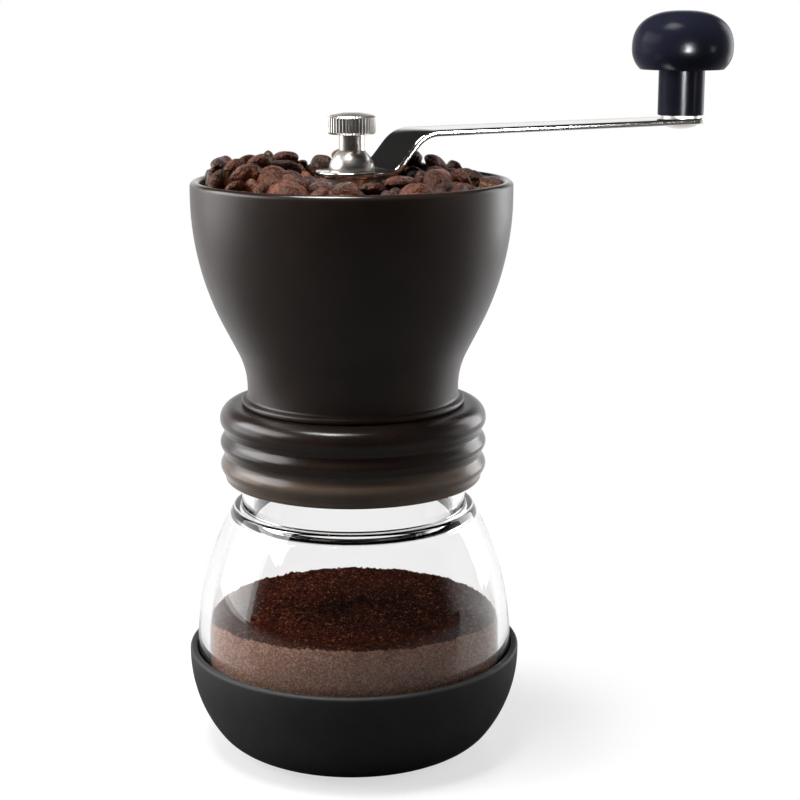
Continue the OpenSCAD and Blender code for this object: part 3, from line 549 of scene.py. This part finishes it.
def make_hopper():
    neck_r, wall = HOPPER_NECK_R, HOPPER_WALL
    flange_round, fillet_r = 0.9 * MM, 0.85 * MM
    sleeve_r, seat_r, throat_r = 25.3 * MM, 22.6 * MM, 19.5 * MM
    seat_z = COLLAR_TOP_Z - 2.5 * MM
    throat_z = seat_z + 1.5 * MM
    rim = wall / 2
    soft = 0.3 * MM
    flange_r = neck_r + 1.75 * MM
    sleeve = fillet([(seat_r, SLEEVE_Z + 2 * soft, 0), (seat_r, SLEEVE_Z, soft), (sleeve_r, SLEEVE_Z, soft),
                     (sleeve_r, COLLAR_TOP_Z, 0), (flange_r - flange_round, COLLAR_TOP_Z, 0)])
    outside = (arc((flange_r - flange_round, COLLAR_TOP_Z + flange_round), flange_round, -90, 90, 10)
               + arc((neck_r + fillet_r, COLLAR_TOP_Z + 1.8 * MM + fillet_r), fillet_r, -90, -180, 8)
               + hopper_side(0)
               + arc((BELLY_R - rim, RIM_Z - rim), rim, 0, 180, 16))
    inside = hopper_side(wall)[::-1]
    funnel_r = neck_r - wall
    throat = fillet([(funnel_r, COLLAR_TOP_Z + 4.5 * MM, 0),
                     (funnel_r, throat_z + funnel_r - throat_r, 2 * MM), (throat_r, throat_z, soft),
                     (throat_r, seat_z, soft), (seat_r, seat_z, soft), (seat_r, SLEEVE_Z + 2 * soft, 0)])
    obj = lathe("hopper_shell", sleeve + outside + inside + throat[:-1], closed=True)

    tower_r, bore_r = 8 * MM, 5.55 * MM
    spoke_z = COLLAR_TOP_Z + 7.5 * MM
    spoke_w, spoke_h = 4 * MM, 8 * MM
    tower_top = adjuster_low.z - 1.8 * MM
    tower = lathe("tower", fillet([
        (bore_r, spoke_z + 1 * MM, 0), (bore_r, spoke_z, soft), (tower_r, spoke_z, soft),
        (tower_r, tower_top, soft), (bore_r, tower_top, soft), (bore_r, spoke_z + 1 * MM, 0)])[:-1],
        closed=True, steps=96)
    for turn in (90, 210, 330):
        spoke = block("spoke", (6.7 * MM, -spoke_w / 2, spoke_z + 0.01 * MM),
                      (27.6 * MM, spoke_w / 2, spoke_z + spoke_h), turn)
        combine(tower, spoke, "UNION")
    combine(obj, tower, "UNION")
    for turn in (0, 120, 240):
        slot = block("slot", (20 * MM, -2.1 * MM, SLEEVE_Z - 1 * MM),
                     (24 * MM, 2.1 * MM, SLEEVE_Z + 3.1 * MM), turn)
        combine(obj, slot, "DIFFERENCE")
    finish_piece(obj, "head", "shell", "hopper")


def make_top_nut():
    foot_r, waist_r, head_r = 6.1 * MM, 3.4 * MM, nut_high.x
    foot_h, head_h, crown = 5.4 * MM, 5.6 * MM, 0.7 * MM
    low, high = nut_low.z, nut_high.z
    head_z = high - head_h
    edge_h = 0.25 * MM
    dome = []
    for i in range(25):
        t = i / 24
        dome.append((waist_r + (foot_r - waist_r) * (1 - t ** 1.9), low + edge_h + (foot_h - edge_h) * t))
    foot = fillet([(0, low, 0), (foot_r, low, 0.2 * MM), dome[0] + (0,)])
    waist = fillet([dome[-1] + (0,), (waist_r, head_z, 0.35 * MM), (head_r - 0.5 * MM, head_z, 0.1 * MM),
                    (head_r, head_z + 0.5 * MM, 0)])
    band = [(head_r, z) for z in np.linspace(head_z + 0.5 * MM, high - crown - 0.5 * MM, 10)]
    top = fillet([(head_r, high - crown - 0.5 * MM, 0), (head_r - 0.5 * MM, high - crown, 0.15 * MM),
                  (head_r - 1.1 * MM, high - crown * 0.8, 0.2 * MM), (0.4 * head_r, high - 0.06 * MM, 2 * MM),
                  (0, high, 0)])
    grooves, depth = 40, 0.3 * MM

    def knurl(r, z, angle):
        if z < head_z + 0.1 * MM or r < head_r - 0.45 * MM:
            return r
        wave = abs(((angle * grooves / (2 * math.pi)) % 1) * 2 - 1)
        return r - depth * wave ** 3

    obj = lathe("knurled_top_nut", foot + dome[1:] + waist + band + top, steps=grooves * 10, shape=knurl)
    finish_piece(obj, "drive", "steel", "top_nut")


def make_crank():
    thickness = 1.7 * MM
    width, end_width, hub_r = 17 * MM, 15.5 * MM, -arm_low.x
    flat, slope = 6.8 * MM, math.radians(48)
    low_r, high_r = 4 * MM + thickness / 2, 9 * MM + thickness / 2
    mid_z = HUB_Z + thickness / 2
    climb = STRAP_TOP_Z - thickness / 2 - mid_z
    straight = (climb - (low_r + high_r) * (1 - math.cos(slope))) / math.sin(slope)
    bends_x = flat + (low_r + high_r) * math.sin(slope) + straight * math.cos(slope)
    bends_s = flat + (low_r + high_r) * slope + straight
    knob_s = bends_s + KNOB_X - bends_x

    def path(s):
        """Place and upward direction of the strap's middle plane at length s from the shaft."""
        if s <= flat:
            return s, mid_z, 0.0
        s -= flat
        if s <= low_r * slope:
            a = s / low_r
            return flat + low_r * math.sin(a), mid_z + low_r * (1 - math.cos(a)), a
        s -= low_r * slope
        x, z = flat + low_r * math.sin(slope), mid_z + low_r * (1 - math.cos(slope))
        if s <= straight:
            return x + s * math.cos(slope), z + s * math.sin(slope), slope
        s -= straight
        x, z = x + straight * math.cos(slope), z + straight * math.sin(slope)
        if s <= high_r * slope:
            a = slope - s / high_r
            return (x + high_r * (math.sin(slope) - math.sin(a)),
                    z + high_r * (math.cos(a) - math.cos(slope)), a)
        return bends_x + s - high_r * slope, mid_z + climb, 0.0

    round_steps = 24

    def rail(inset):
        """Half outline (s, half width) from the hub's back to the knob's end, drawn inwards."""
        points = []
        r = hub_r - inset
        half = width / 2 - inset
        meet = math.asin(half / r)
        for i in range(round_steps + 1):
            a = math.pi - (math.pi - meet) * i / round_steps
            points.append((r * math.cos(a), r * math.sin(a)))
        first = points[-1][0]
        runs = np.linspace(first, knob_s, 120)[1:]
        points += [(s, half + (end_width - width) / 2 * path(s)[0] / KNOB_X) for s in runs]
        end = end_width / 2 - inset
        for i in range(1, round_steps + 1):
            a = math.pi / 2 * (1 - i / round_steps)
            points.append((knob_s + end * math.cos(a), end * math.sin(a)))
        return points

    edge = 0.45 * MM
    levels = []
    for i in range(7):
        a = math.pi / 2 * i / 6
        levels.append((edge * (1 - math.sin(a)), -thickness / 2 + edge * (1 - math.cos(a))))
    levels += [(inset, -z) for inset, z in levels[::-1]]
    verts, rows = [], []
    for inset, h in levels:
        half_line = rail(inset)
        row = []
        for side in (-1, 1):
            line = []
            for s, w in half_line:
                x, z, a = path(s)
                line.append(len(verts))
                verts.append((x - h * math.sin(a), side * w, z + h * math.cos(a)))
            row.append(line)
        rows.append(row)
    faces = []
    count = len(rows[0][0])
    for low, high in zip(rows, rows[1:]):
        for side in (0, 1):
            for i in range(count - 1):
                faces.append((low[side][i], low[side][i + 1], high[side][i + 1], high[side][i]))
    for row in (rows[0], rows[-1]):
        left, right = row
        for i in range(count - 1):
            faces.append((left[i], left[i + 1], right[i + 1], right[i]))
    obj = new_object("crank_strap", verts, faces, 30)
    finish_piece(obj, "drive", "crank_steel", "crank_arm")


def make_knob():
    knob_r = knob_high.y
    low, top = knob_low.z, knob_high.z
    stem_r, stem_h = 6.8 * MM, 13.4 * MM
    low_h, low_r = 5.9 * MM, 8 * MM
    cap_z = low + stem_h
    widest = cap_z + low_h
    power = 2.5
    start = -math.degrees(math.asin(low_h / low_r))
    low_arc = arc((knob_r - low_r, widest), low_r, start, 0, 16)
    dome = []
    for i in range(1, 49):
        a = math.pi / 2 * i / 48
        dome.append((knob_r * max(0.0, math.cos(a)) ** (2 / power),
                     widest + (top - widest) * math.sin(a) ** (2 / power)))
    dome[-1] = (0.0, top)
    under = fillet([(0, low, 0), (stem_r, low, 0.5 * MM), (stem_r, cap_z, 0.4 * MM),
                    (low_arc[0][0], cap_z, 0.35 * MM), low_arc[1] + (0,)])
    obj = lathe("mushroom_knob", under + low_arc[2:] + dome, axis=(KNOB_X, 0))
    finish_piece(obj, "knob", "knob_plastic", "crank_knob")


def make_pin():
    low, head_r, head_h = pin_low.z, 5.2 * MM, 1.6 * MM
    under = low + head_h
    pin_r = 3 * MM
    dome = arc((0, under), head_r, -90, 0, 16)
    dome = [(r, under - head_h + (z - under + head_r) * head_h / head_r) for r, z in dome]
    shank = [(pin_r, under + 0.01 * MM), (pin_r, pin_high.z - 0.3 * MM), (pin_r - 0.3 * MM, pin_high.z),
             (0, pin_high.z)]
    obj = lathe("rivet_pin", dome + shank, axis=(KNOB_X, 0), steps=96)
    finish_piece(obj, "drive", "steel", "knob_pin")


def dress_nodes():
    """Materials for the CAD nodes that stay as they are."""
    record = frame["record"]
    slots = {row["node"]: row["material_slot"] for row in record["subparts"]}
    for name, obj in frame["nodes"].items():
        if obj.hide_render:
            continue
        obj.data.materials.clear()
        obj.data.materials.append(MATERIALS[slots[name]])


make_base()
make_jar()
make_seal()
make_collar()
make_hopper()
make_top_nut()
make_crank()
make_knob()
make_pin()
dress_nodes()


# ---------------------------------------------------------------- coffee, which is dressing

BEAN_LENGTH, BEAN_WIDTH, BEAN_HEIGHT = 10.8 * MM, 7.5 * MM, 4.9 * MM
BEAN_COUNT = 735
FALL_TICKS, REST_TICKS = 110, 45
HEAP_PULL, HEAP_CENTRE = 0.3, np.array((-4 * MM, 2.5 * MM))


def hopper_radius():
    """Heights and radii of the hopper's inner wall, as two arrays."""
    points = np.array(hopper_side(HOPPER_WALL))
    return points[:, 1], points[:, 0]


def bean_limit(x, y):
    """Height below which beans stay: clear of the turning crank, and lower on the camera's side."""
    r = np.hypot(x, y)
    hollow_r, slope, heap = 16.5 * MM, math.radians(45), 8.3 * MM
    front = np.cos(np.arctan2(y, x) - math.radians(CAMERA_AZIMUTH - 90))
    heap = heap * np.minimum(1, 0.1 + 0.9 * (1 - front))
    return HUB_Z - 0.3 * MM + np.minimum(np.maximum(r - hollow_r, 0) * math.tan(slope), heap)


def near_pairs(flat, owner, reach):
    """Pairs of balls of different beans that are closer than reach."""
    square = (flat ** 2).sum(axis=1)
    gap = square[:, None] + square[None, :] - 2 * flat @ flat.T
    first, second = np.nonzero(np.triu(gap < reach ** 2, 1))
    other = owner[first] != owner[second]
    return first[other], second[other]


def keep_inside(flat, ball, floor_z, wall_z, wall_r, wall_slope):
    """Moves balls out of the hopper's wall, tower and floor, and out of the crank's way."""
    r = np.hypot(flat[:, 0], flat[:, 1]) + 1e-9
    outward = flat[:, :2] / r[:, None]
    slope = np.interp(flat[:, 2], wall_z, wall_slope)
    steep = np.sqrt(1 + slope ** 2)
    over = np.maximum((r - np.interp(flat[:, 2], wall_z, wall_r)) / steep + ball, 0)
    flat[:, :2] -= outward * (over / steep)[:, None]
    flat[:, 2] += over * slope / steep
    r = np.hypot(flat[:, 0], flat[:, 1]) + 1e-9
    core = np.where(flat[:, 2] > adjuster_low.z - 1 * MM, adjuster_high.x + 0.4 * MM, 8.1 * MM) + ball
    flat[:, :2] += outward * np.maximum(core - r, 0)[:, None]
    limit = bean_limit(flat[:, 0], flat[:, 1]) - ball
    flat[:, 2] = np.maximum(np.minimum(flat[:, 2], limit), floor_z + ball)


def lying_turns(count, random):
    """Turns of beans that lie about flat, half of them with the crease up."""
    yaw = random.uniform(0, 2 * math.pi, count)
    pitch = random.normal(0, 0.3, count)
    roll = random.normal(0, 0.45, count) + math.pi * random.integers(0, 2, count)
    turns = [Matrix.Rotation(y, 3, "Z") @ Matrix.Rotation(p, 3, "Y") @ Matrix.Rotation(r, 3, "X")
             for y, p, r in zip(yaw, pitch, roll)]
    return np.array([[list(row) for row in turn] for turn in turns])


def settle_beans(count, floor_z, random):
    """Lets beans fall into the hopper. Gives their centres and their turns (count x 3 x 3).

    A bean is four balls that keep their places on it. All beans sink a little, the
    balls push each other and the walls apart, and each bean is then put back to the
    place and turn that fit its balls best. A weak pull to the axis stands in for
    friction, and gives the heap.
    """
    ball = BEAN_HEIGHT / 2
    reach, spread = BEAN_LENGTH / 2 - ball, BEAN_WIDTH / 2 - ball
    places = np.array([(reach, 0, 0), (-reach, 0, 0), (0, spread, 0), (0, -spread, 0)])
    wall_z, wall_r = hopper_radius()
    wall_slope = np.gradient(wall_r, wall_z)

    layer_r, layer_step, level_step = 32 * MM, 9.4 * MM, 7.2 * MM
    centres = []
    level = 0
    while len(centres) < count:
        z = floor_z + ball + level * level_step
        for i in range(-5, 6):
            for j in range(-5, 6):
                x = (i + (j % 2) / 2 + 0.25 * (level % 2)) * layer_step
                y = j * layer_step * math.sqrt(3) / 2
                if 16 * MM < math.hypot(x, y) < layer_r:
                    centres.append((x, y, z))
        level += 1
    centres = np.array(centres[:count])
    centres += random.uniform(-0.5, 0.5, centres.shape) * MM
    turns = lying_turns(count, random)
    balls = centres[:, None, :] + places @ turns.transpose(0, 2, 1)
    total = 4 * count
    owner = np.arange(total) // 4
    tick_fall, margin, push_share, hold = 0.6 * MM, 1.6 * MM, 1.5, 0.2 * reach ** 2
    for tick in range(FALL_TICKS + REST_TICKS):
        flat = balls.reshape(total, 3)
        if tick % 4 == 0:
            first, second = near_pairs(flat, owner, 2 * ball + margin)
        fall = tick_fall * max(0.0, 1 - tick / FALL_TICKS)
        middle = balls.mean(axis=1, keepdims=True)
        outward = middle[..., :2] - HEAP_CENTRE
        balls[..., :2] -= HEAP_PULL * fall * outward / np.linalg.norm(outward, axis=2, keepdims=True)
        balls[..., 2] -= fall
        for _ in range(3):
            flat = balls.reshape(total, 3)
            gap = flat[first] - flat[second]
            distance = np.sqrt(np.einsum("ij,ij->i", gap, gap))
            touch = distance < 2 * ball
            a, b, length = first[touch], second[touch], distance[touch][:, None]
            push = gap[touch] * ((2 * ball - length) / np.maximum(length, 1e-6) / 2)
            hits = np.maximum(np.bincount(a, minlength=total) + np.bincount(b, minlength=total), 1)
            for k in range(3):
                net = np.bincount(a, push[:, k], total) - np.bincount(b, push[:, k], total)
                flat[:, k] += push_share * net / hits ** 0.5
            keep_inside(flat, ball, floor_z, wall_z, wall_r, wall_slope)
            balls = flat.reshape(count, 4, 3)
            centres = balls.mean(axis=1)
            match = np.einsum("nbi,bj->nij", balls - centres[:, None], places) + hold * turns
            u, _, vt = np.linalg.svd(match)
            u[np.linalg.det(u @ vt) < 0, :, 2] *= -1
            turns = u @ vt
            balls = centres[:, None, :] + places @ turns.transpose(0, 2, 1)
    return centres, turns


def bean_shape(random):
    """Points of one bean about its middle, with the crease underneath, and its faces."""
    around, along = 22, 15
    crease_width, flatness = 0.16, 0.72
    points, crease = [], []
    bend = random.uniform(0.2, 0.5) * MM
    size = random.uniform(0.88, 1.08, 3)
    groove = random.uniform(0.8, 1.2) * MM
    lumps = random.uniform(0, 2 * math.pi, 3)
    for i in range(along + 1):
        a = math.pi * i / along
        x, girth = -math.cos(a), math.sin(a) ** 0.85
        for k in range(around):
            b = 2 * math.pi * k / around
            b -= 0.22 * math.sin(2 * b + math.pi)
            y, z = girth * math.cos(b), girth * math.sin(b)
            depth = 0.0
            if z < 0:
                middle = y - 0.12 * math.sin(math.pi * x)
                depth = math.exp(-(middle / crease_width) ** 2) * girth
                z *= flatness
            lump = 1 + 0.05 * math.sin(3 * b + lumps[0] + 2 * x) + 0.045 * math.sin(2 * b - 5 * x + lumps[1])
            y, z = y * lump, z * lump
            points.append((x * BEAN_LENGTH / 2 * size[0] + 0.12 * MM * math.sin(3 * b),
                           y * BEAN_WIDTH / 2 * size[1] + bend * x * x,
                           (z + 0.12) * BEAN_HEIGHT / 2 * size[2] + groove * depth))
            crease.append(depth)
    faces = []
    for i in range(along):
        for k in range(around):
            n = (k + 1) % around
            faces.append((i * around + k, i * around + n, (i + 1) * around + n, (i + 1) * around + k))
    return np.array(points), np.array(crease), np.array(faces)


def make_beans():
    random = np.random.default_rng(11)
    spokes_z = COLLAR_TOP_Z + 15.6 * MM
    centres, turns = settle_beans(BEAN_COUNT, spokes_z, random)
    kinds = [bean_shape(random) for _ in range(8)]
    verts, faces, creases, tones = [], [], [], []
    for i in range(BEAN_COUNT):
        points, crease, quads = kinds[i % len(kinds)]
        faces.append(quads + i * len(points))
        verts.append(points @ turns[i].T + centres[i])
        creases.append(crease)
        tones.append(np.full(len(points), random.uniform(0, 1)))
    verts, faces = np.concatenate(verts), np.concatenate(faces)
    mesh = bpy.data.meshes.new("coffee_beans")
    mesh.from_pydata(verts.tolist(), [], faces.tolist())
    for name, values in (("crease", creases), ("tone", tones)):
        mesh.attributes.new(name, "FLOAT", "POINT").data.foreach_set("value", np.concatenate(values))
    mesh.polygons.foreach_set("use_smooth", [True] * len(mesh.polygons))
    mesh.update()
    beans = bpy.data.objects.new("coffee_beans", mesh)
    bpy.context.scene.collection.objects.link(beans)
    mesh.materials.append(bean_material())
    fill("hopper_fill", "head", beans)


def fill(name, body, obj):
    """Parents contents to an empty that follows a body, so that they move with it."""
    holder = bpy.data.objects.new(name, None)
    bpy.context.scene.collection.objects.link(holder)
    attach(holder, body)
    obj.parent = holder


def make_grounds():
    """Ground coffee in the jar: it follows the glass from the floor up, under a grainy mound."""
    random = np.random.default_rng(5)
    level, clear = JAR_Z + 34.2 * MM, 0.05 * MM
    wall = jar_side(GLASS + clear)
    wall_r, wall_z = [p[0] for p in wall], [p[1] for p in wall]
    side = [p for p in wall if p[1] < level - 3 * MM]
    rings, steps = 90, 420
    mound_h, mound_r, tilt, ripple, grain = 1.2 * MM, 24 * MM, 1.7 * MM, 0.05 * MM, 0.22 * MM
    turn = math.radians(CAMERA_AZIMUTH)
    waves = [(random.uniform(240, 960), random.uniform(0, 2 * math.pi), random.uniform(0, 2 * math.pi))
             for _ in range(14)]

    def top(x, y):
        """Height of the coffee: a low mound that rises a little towards the camera's side."""
        height = level + mound_h * math.exp(-((x + 4 * MM) ** 2 + (y - 6 * MM) ** 2) / mound_r ** 2)
        height += tilt * (x * math.sin(turn) - y * math.cos(turn)) / JAR_R
        for pitch, angle, phase in waves:
            height += ripple * math.sin(pitch * (x * math.cos(angle) + y * math.sin(angle)) + phase)
        return height

    angles = [2 * math.pi * k / steps for k in range(steps)]
    verts, faces = [(0, 0, JAR_Z + GLASS + clear)], []
    for r, z in side:
        verts += [(r * math.cos(a), r * math.sin(a), z) for a in angles]
    for i in range(rings, 0, -1):
        for a in angles:
            edge_z = top(side[-1][0] * math.cos(a), side[-1][0] * math.sin(a))
            r = np.interp(edge_z, wall_z, wall_r) * i / rings
            x, y = r * math.cos(a), r * math.sin(a)
            verts.append((x, y, top(x, y) + random.normal(0, grain)))
    verts.append((0, 0, top(0, 0)))
    count = (len(verts) - 2) // steps
    last = 1 + (count - 1) * steps
    for k in range(steps):
        n = (k + 1) % steps
        faces.append((0, 1 + n, 1 + k))
        for i in range(count - 1):
            low, high = 1 + i * steps, 1 + (i + 1) * steps
            faces.append((low + k, low + n, high + n, high + k))
        faces.append((last + k, last + n, len(verts) - 1))
    grounds = new_object("coffee_grounds", verts, faces, 80)
    places = np.zeros(3 * len(grounds.data.vertices))
    grounds.data.vertices.foreach_get("co", places)
    places = places.reshape(-1, 3)
    # Points at the glass get painted light: the material draws their grains paler.
    edge_r = np.interp(places[:, 2], wall_z, wall_r) - 0.2 * MM
    painted_light_at_glass = np.hypot(places[:, 0], places[:, 1]) > edge_r
    grounds.data.attributes.new("painted_light_at_glass", "FLOAT", "POINT").data.foreach_set("value", painted_light_at_glass.astype(float))
    grounds.data.materials.append(grounds_material())
    fill("jar_fill", "jar", grounds)


def bean_material():
    s = Surface("roasted_bean", (0.07, 0.02, 0.01), 0.35)
    tone, crease = s.attribute("tone"), s.attribute("crease")
    dark = s.ramp(tone, [(0.1, (0.003, 0.0004, 0.0001)), (0.6, (0.008, 0.0012, 0.0003)),
                         (0.97, (0.022, 0.005, 0.0018))])
    light = s.ramp(tone, [(0.1, (0.008, 0.0012, 0.0003)), (0.6, (0.045, 0.009, 0.003)),
                          (0.97, (0.19, 0.056, 0.025))])
    skin = s.mix(s.rise(s.noise(2.4 * MM, 6, 0.7), 0.42, 0.72), dark, light)
    chaff = s.ramp(s.noise(0.7 * MM, 4), [(0.4, (0.03, 0.011, 0.005)), (0.62, (0.3, 0.15, 0.06))])
    s.use(Base_Color=s.mix(s.between(crease, 0, 0.9), skin, chaff))
    s.use(Roughness=s.between(s.noise(1.2 * MM, 4), 0.2, 0.38), Specular_IOR_Level=0.42)
    s.use(Specular_Tint=(1.0, 0.58, 0.44, 1))
    s.bump(s.noise(1.3 * MM, 5, 0.6), 0.9 * MM, 1.0)
    s.bump(s.noise(0.35 * MM, 3), 0.06 * MM, 0.5)
    return s.material


def grounds_material():
    """Dark grains on the mound, and grains painted paler where the coffee touches the glass, as painted light and
    reflection.
    """
    s = Surface("ground_coffee", (0.06, 0.022, 0.015), 0.9)
    coarse, fine = (s.node("ShaderNodeTexVoronoi", {"Vector": s.coords, "Scale": 1 / size}, feature="F1")
                    for size in (0.6 * MM, 0.4 * MM))
    shade = s.node("ShaderNodeSeparateColor", {0: coarse.outputs["Color"]}).outputs[0]
    loose = s.ramp(shade, [(0.0, (0.017, 0.0022, 0.0004)), (0.6, (0.056, 0.0098, 0.0026)),
                           (0.9, (0.11, 0.026, 0.0105)), (1.0, (0.26, 0.095, 0.042))])
    shade = s.node("ShaderNodeSeparateColor", {0: fine.outputs["Color"]}).outputs[0]
    # Painted light and reflection: paler grains where the coffee lies against the glass.
    painted_light_at_glass = s.ramp(shade, [(0.0, (0.27, 0.125, 0.08)), (0.6, (0.43, 0.225, 0.155)),
                             (1.0, (0.58, 0.36, 0.27))])
    s.use(Base_Color=s.mix(s.attribute("painted_light_at_glass"), loose, painted_light_at_glass), Specular_IOR_Level=0.03)
    s.bump(fine.outputs["Distance"], 0.3 * MM, 0.6)
    s.bump(s.noise(2.5 * MM, 4), 0.5 * MM, 0.4)
    return s.material


make_beans()
make_grounds()


# ---------------------------------------------------------------- camera, world, floor and lamps

CAMERA_YAW = 1.54
CAMERA_PITCH = 12.48
CAMERA_AWAY = 478.5 * MM
CAMERA_HEIGHT = 202.6 * MM
CAMERA_LENS = 80.4


def make_camera():
    a = math.radians(CAMERA_AZIMUTH)
    data = bpy.data.cameras.new("camera")
    data.lens = CAMERA_LENS
    data.sensor_width = 36
    data.clip_start = 0.01
    camera = bpy.data.objects.new("camera", data)
    camera.location = (CAMERA_AWAY * math.sin(a), -CAMERA_AWAY * math.cos(a), CAMERA_HEIGHT)
    camera.rotation_euler = (math.radians(90 - CAMERA_PITCH), 0, math.radians(CAMERA_AZIMUTH - CAMERA_YAW))
    bpy.context.scene.collection.objects.link(camera)
    bpy.context.scene.camera = camera


class Nodes:
    """Short ways to add nodes to a tree that is not an object's surface."""

    def __init__(self, tree):
        self.tree = tree

    def add(self, kind, *inputs, **settings):
        made = self.tree.nodes.new(kind)
        for key, value in settings.items():
            setattr(made, key, value)
        for index, value in enumerate(inputs):
            if value is not None:
                feed(self.tree, made.inputs[index], value)
        return made

    def math(self, operation, a, b=0.0):
        return self.add("ShaderNodeMath", a, b, operation=operation).outputs[0]

    def spread(self, value, low, high, to_low=0, to_high=1):
        """Goes softly from to_low, where value is low, to to_high, where it is high."""
        return self.add("ShaderNodeMapRange", value, low, high, to_low, to_high,
                        interpolation_type="SMOOTHSTEP").outputs[0]

    def behind(self, place):
        """How far a place or direction lies away from the photo's side of the object."""
        turn = math.radians(CAMERA_AZIMUTH)
        return self.add("ShaderNodeVectorMath", place, (-math.sin(turn), math.cos(turn), 0),
                        operation="DOT_PRODUCT").outputs["Value"]


def make_world():
    """Light from behind the object only, but white where it is seen straight or through glass."""
    world = bpy.data.worlds.new("studio")
    world.use_nodes = True
    n = Nodes(world.node_tree)
    background = world.node_tree.nodes["Background"]
    sky = n.add("ShaderNodeTexCoord").outputs["Generated"]
    behind = n.behind(sky)
    height = n.add("ShaderNodeSeparateXYZ", sky).outputs[2]
    backdrop = n.math("MULTIPLY", n.spread(behind, -0.25, 0.35), n.spread(height, 0.2, 0.42, 1, 0))
    level = n.math("ADD", n.math("MULTIPLY", backdrop, 0.97), 0.025)
    path = n.add("ShaderNodeLightPath").outputs
    through = n.math("MULTIPLY", path["Is Transmission Ray"], n.spread(behind, -0.3, 0.1))
    seen = n.math("MAXIMUM", path["Is Camera Ray"], through)
    strength = n.math("MAXIMUM", level, seen)
    world.node_tree.links.new(strength, background.inputs["Strength"])
    background.inputs["Color"].default_value = (1, 1, 1, 1)
    bpy.context.scene.world = world


def make_floor():
    """A white floor with a shadow and a faint reflection; it lights the object from behind only."""
    size = 3.0
    floor = new_object("floor", [(-size, -size, 0), (size, -size, 0), (size, size, 0), (-size, size, 0)],
                       [(0, 1, 2, 3)])
    material = bpy.data.materials.new("floor")
    material.use_nodes = True
    links = material.node_tree.links
    n = Nodes(material.node_tree)
    place = n.add("ShaderNodeTexCoord").outputs["Object"]
    behind = n.behind(place)
    away = n.add("ShaderNodeVectorMath", place, operation="LENGTH").outputs["Value"]
    path = n.add("ShaderNodeLightPath").outputs

    shader = material.node_tree.nodes["Principled BSDF"]
    shader.inputs["Base Color"].default_value = (0.08, 0.08, 0.08, 1)
    shader.inputs["Roughness"].default_value = 0.9
    shader.inputs["Emission Color"].default_value = (1, 1, 1, 1)
    links.new(n.spread(behind, 0, 150 * MM, 0, 0.85), shader.inputs["Emission Strength"])

    white = n.add("ShaderNodeEmission").outputs[0]
    mirror = n.add("ShaderNodeBsdfGlossy")
    mirror.inputs["Roughness"].default_value = 0.3
    shadow = n.add("ShaderNodeAddShader", n.add("ShaderNodeEmission", None, 0.78).outputs[0],
                   n.add("ShaderNodeBsdfDiffuse", (0.3, 0.3, 0.3, 1)).outputs[0]).outputs[0]
    near = n.add("ShaderNodeMixShader", 0.2, shadow, mirror.outputs[0]).outputs[0]
    close = n.spread(away, 60 * MM, 110 * MM, 1, 0)
    seen = n.add("ShaderNodeMixShader", close, white, near).outputs[0]

    through = n.math("MULTIPLY", path["Is Transmission Ray"], n.spread(behind, -70 * MM, -30 * MM))
    straight = n.math("MAXIMUM", path["Is Camera Ray"], through)
    mix = n.add("ShaderNodeMixShader", straight, shader.outputs[0], seen).outputs[0]
    links.new(mix, material.node_tree.nodes["Material Output"].inputs[0])
    floor.data.materials.append(material)


def area_light(name, azimuth, elevation, size, power, target=(0, 0, 0.1), distance=0.7):
    """A soft lamp; azimuth 0 is the camera's side, and the right is positive."""
    data = bpy.data.lights.new(name, "AREA")
    data.shape = "RECTANGLE"
    data.size, data.size_y = size
    data.energy = power
    light = bpy.data.objects.new(name, data)
    a, e = math.radians(azimuth + CAMERA_AZIMUTH), math.radians(elevation)
    away = Vector((math.sin(a) * math.cos(e), -math.cos(a) * math.cos(e), math.sin(e)))
    light.location = Vector(target) + away * distance
    light.rotation_euler = (-away).to_track_quat("-Z", "Y").to_euler()
    bpy.context.scene.collection.objects.link(light)
    return light


def fill_light(azimuth):
    """Lights matt surfaces from one side and shows in no reflection."""
    light = area_light("fill", azimuth, 15, (0.45, 0.6), 3.5)
    light.visible_glossy = False
    light.visible_transmission = False


def glint(name, azimuth, elevation, size, power, target, distance, spread):
    """A narrow lamp for one highlight, which lights no matt surface."""
    light = area_light(name, azimuth, elevation, size, power, target, distance)
    light.data.spread = math.radians(spread)
    light.visible_diffuse = False
    light.visible_transmission = False


make_camera()
make_world()
make_floor()
area_light("left_softbox", -103, 8, (0.5, 0.6), 2.4)
area_light("left_window", -94, 30, (0.68, 0.3), 4.2)
area_light("right_softbox", 128, 8, (0.3, 0.6), 2.0)
area_light("top_softbox", -60, 78, (0.28, 0.28), 10.0, (0, 0, 0.15))
fill_light(-80)
fill_light(85)
glint("knob_glint", 3, -3, (0.09, 0.09), 0.26, (KNOB_X, 0, knob_low.z + 16 * MM), 0.4, 18)
glint("crank_glint", 62, -2, (0.13, 0.06), 0.006, (KNOB_X * 0.8, 0, STRAP_TOP_Z + 8 * MM), 0.6, 9)

bpy.context.scene.view_settings.view_transform = "Standard"
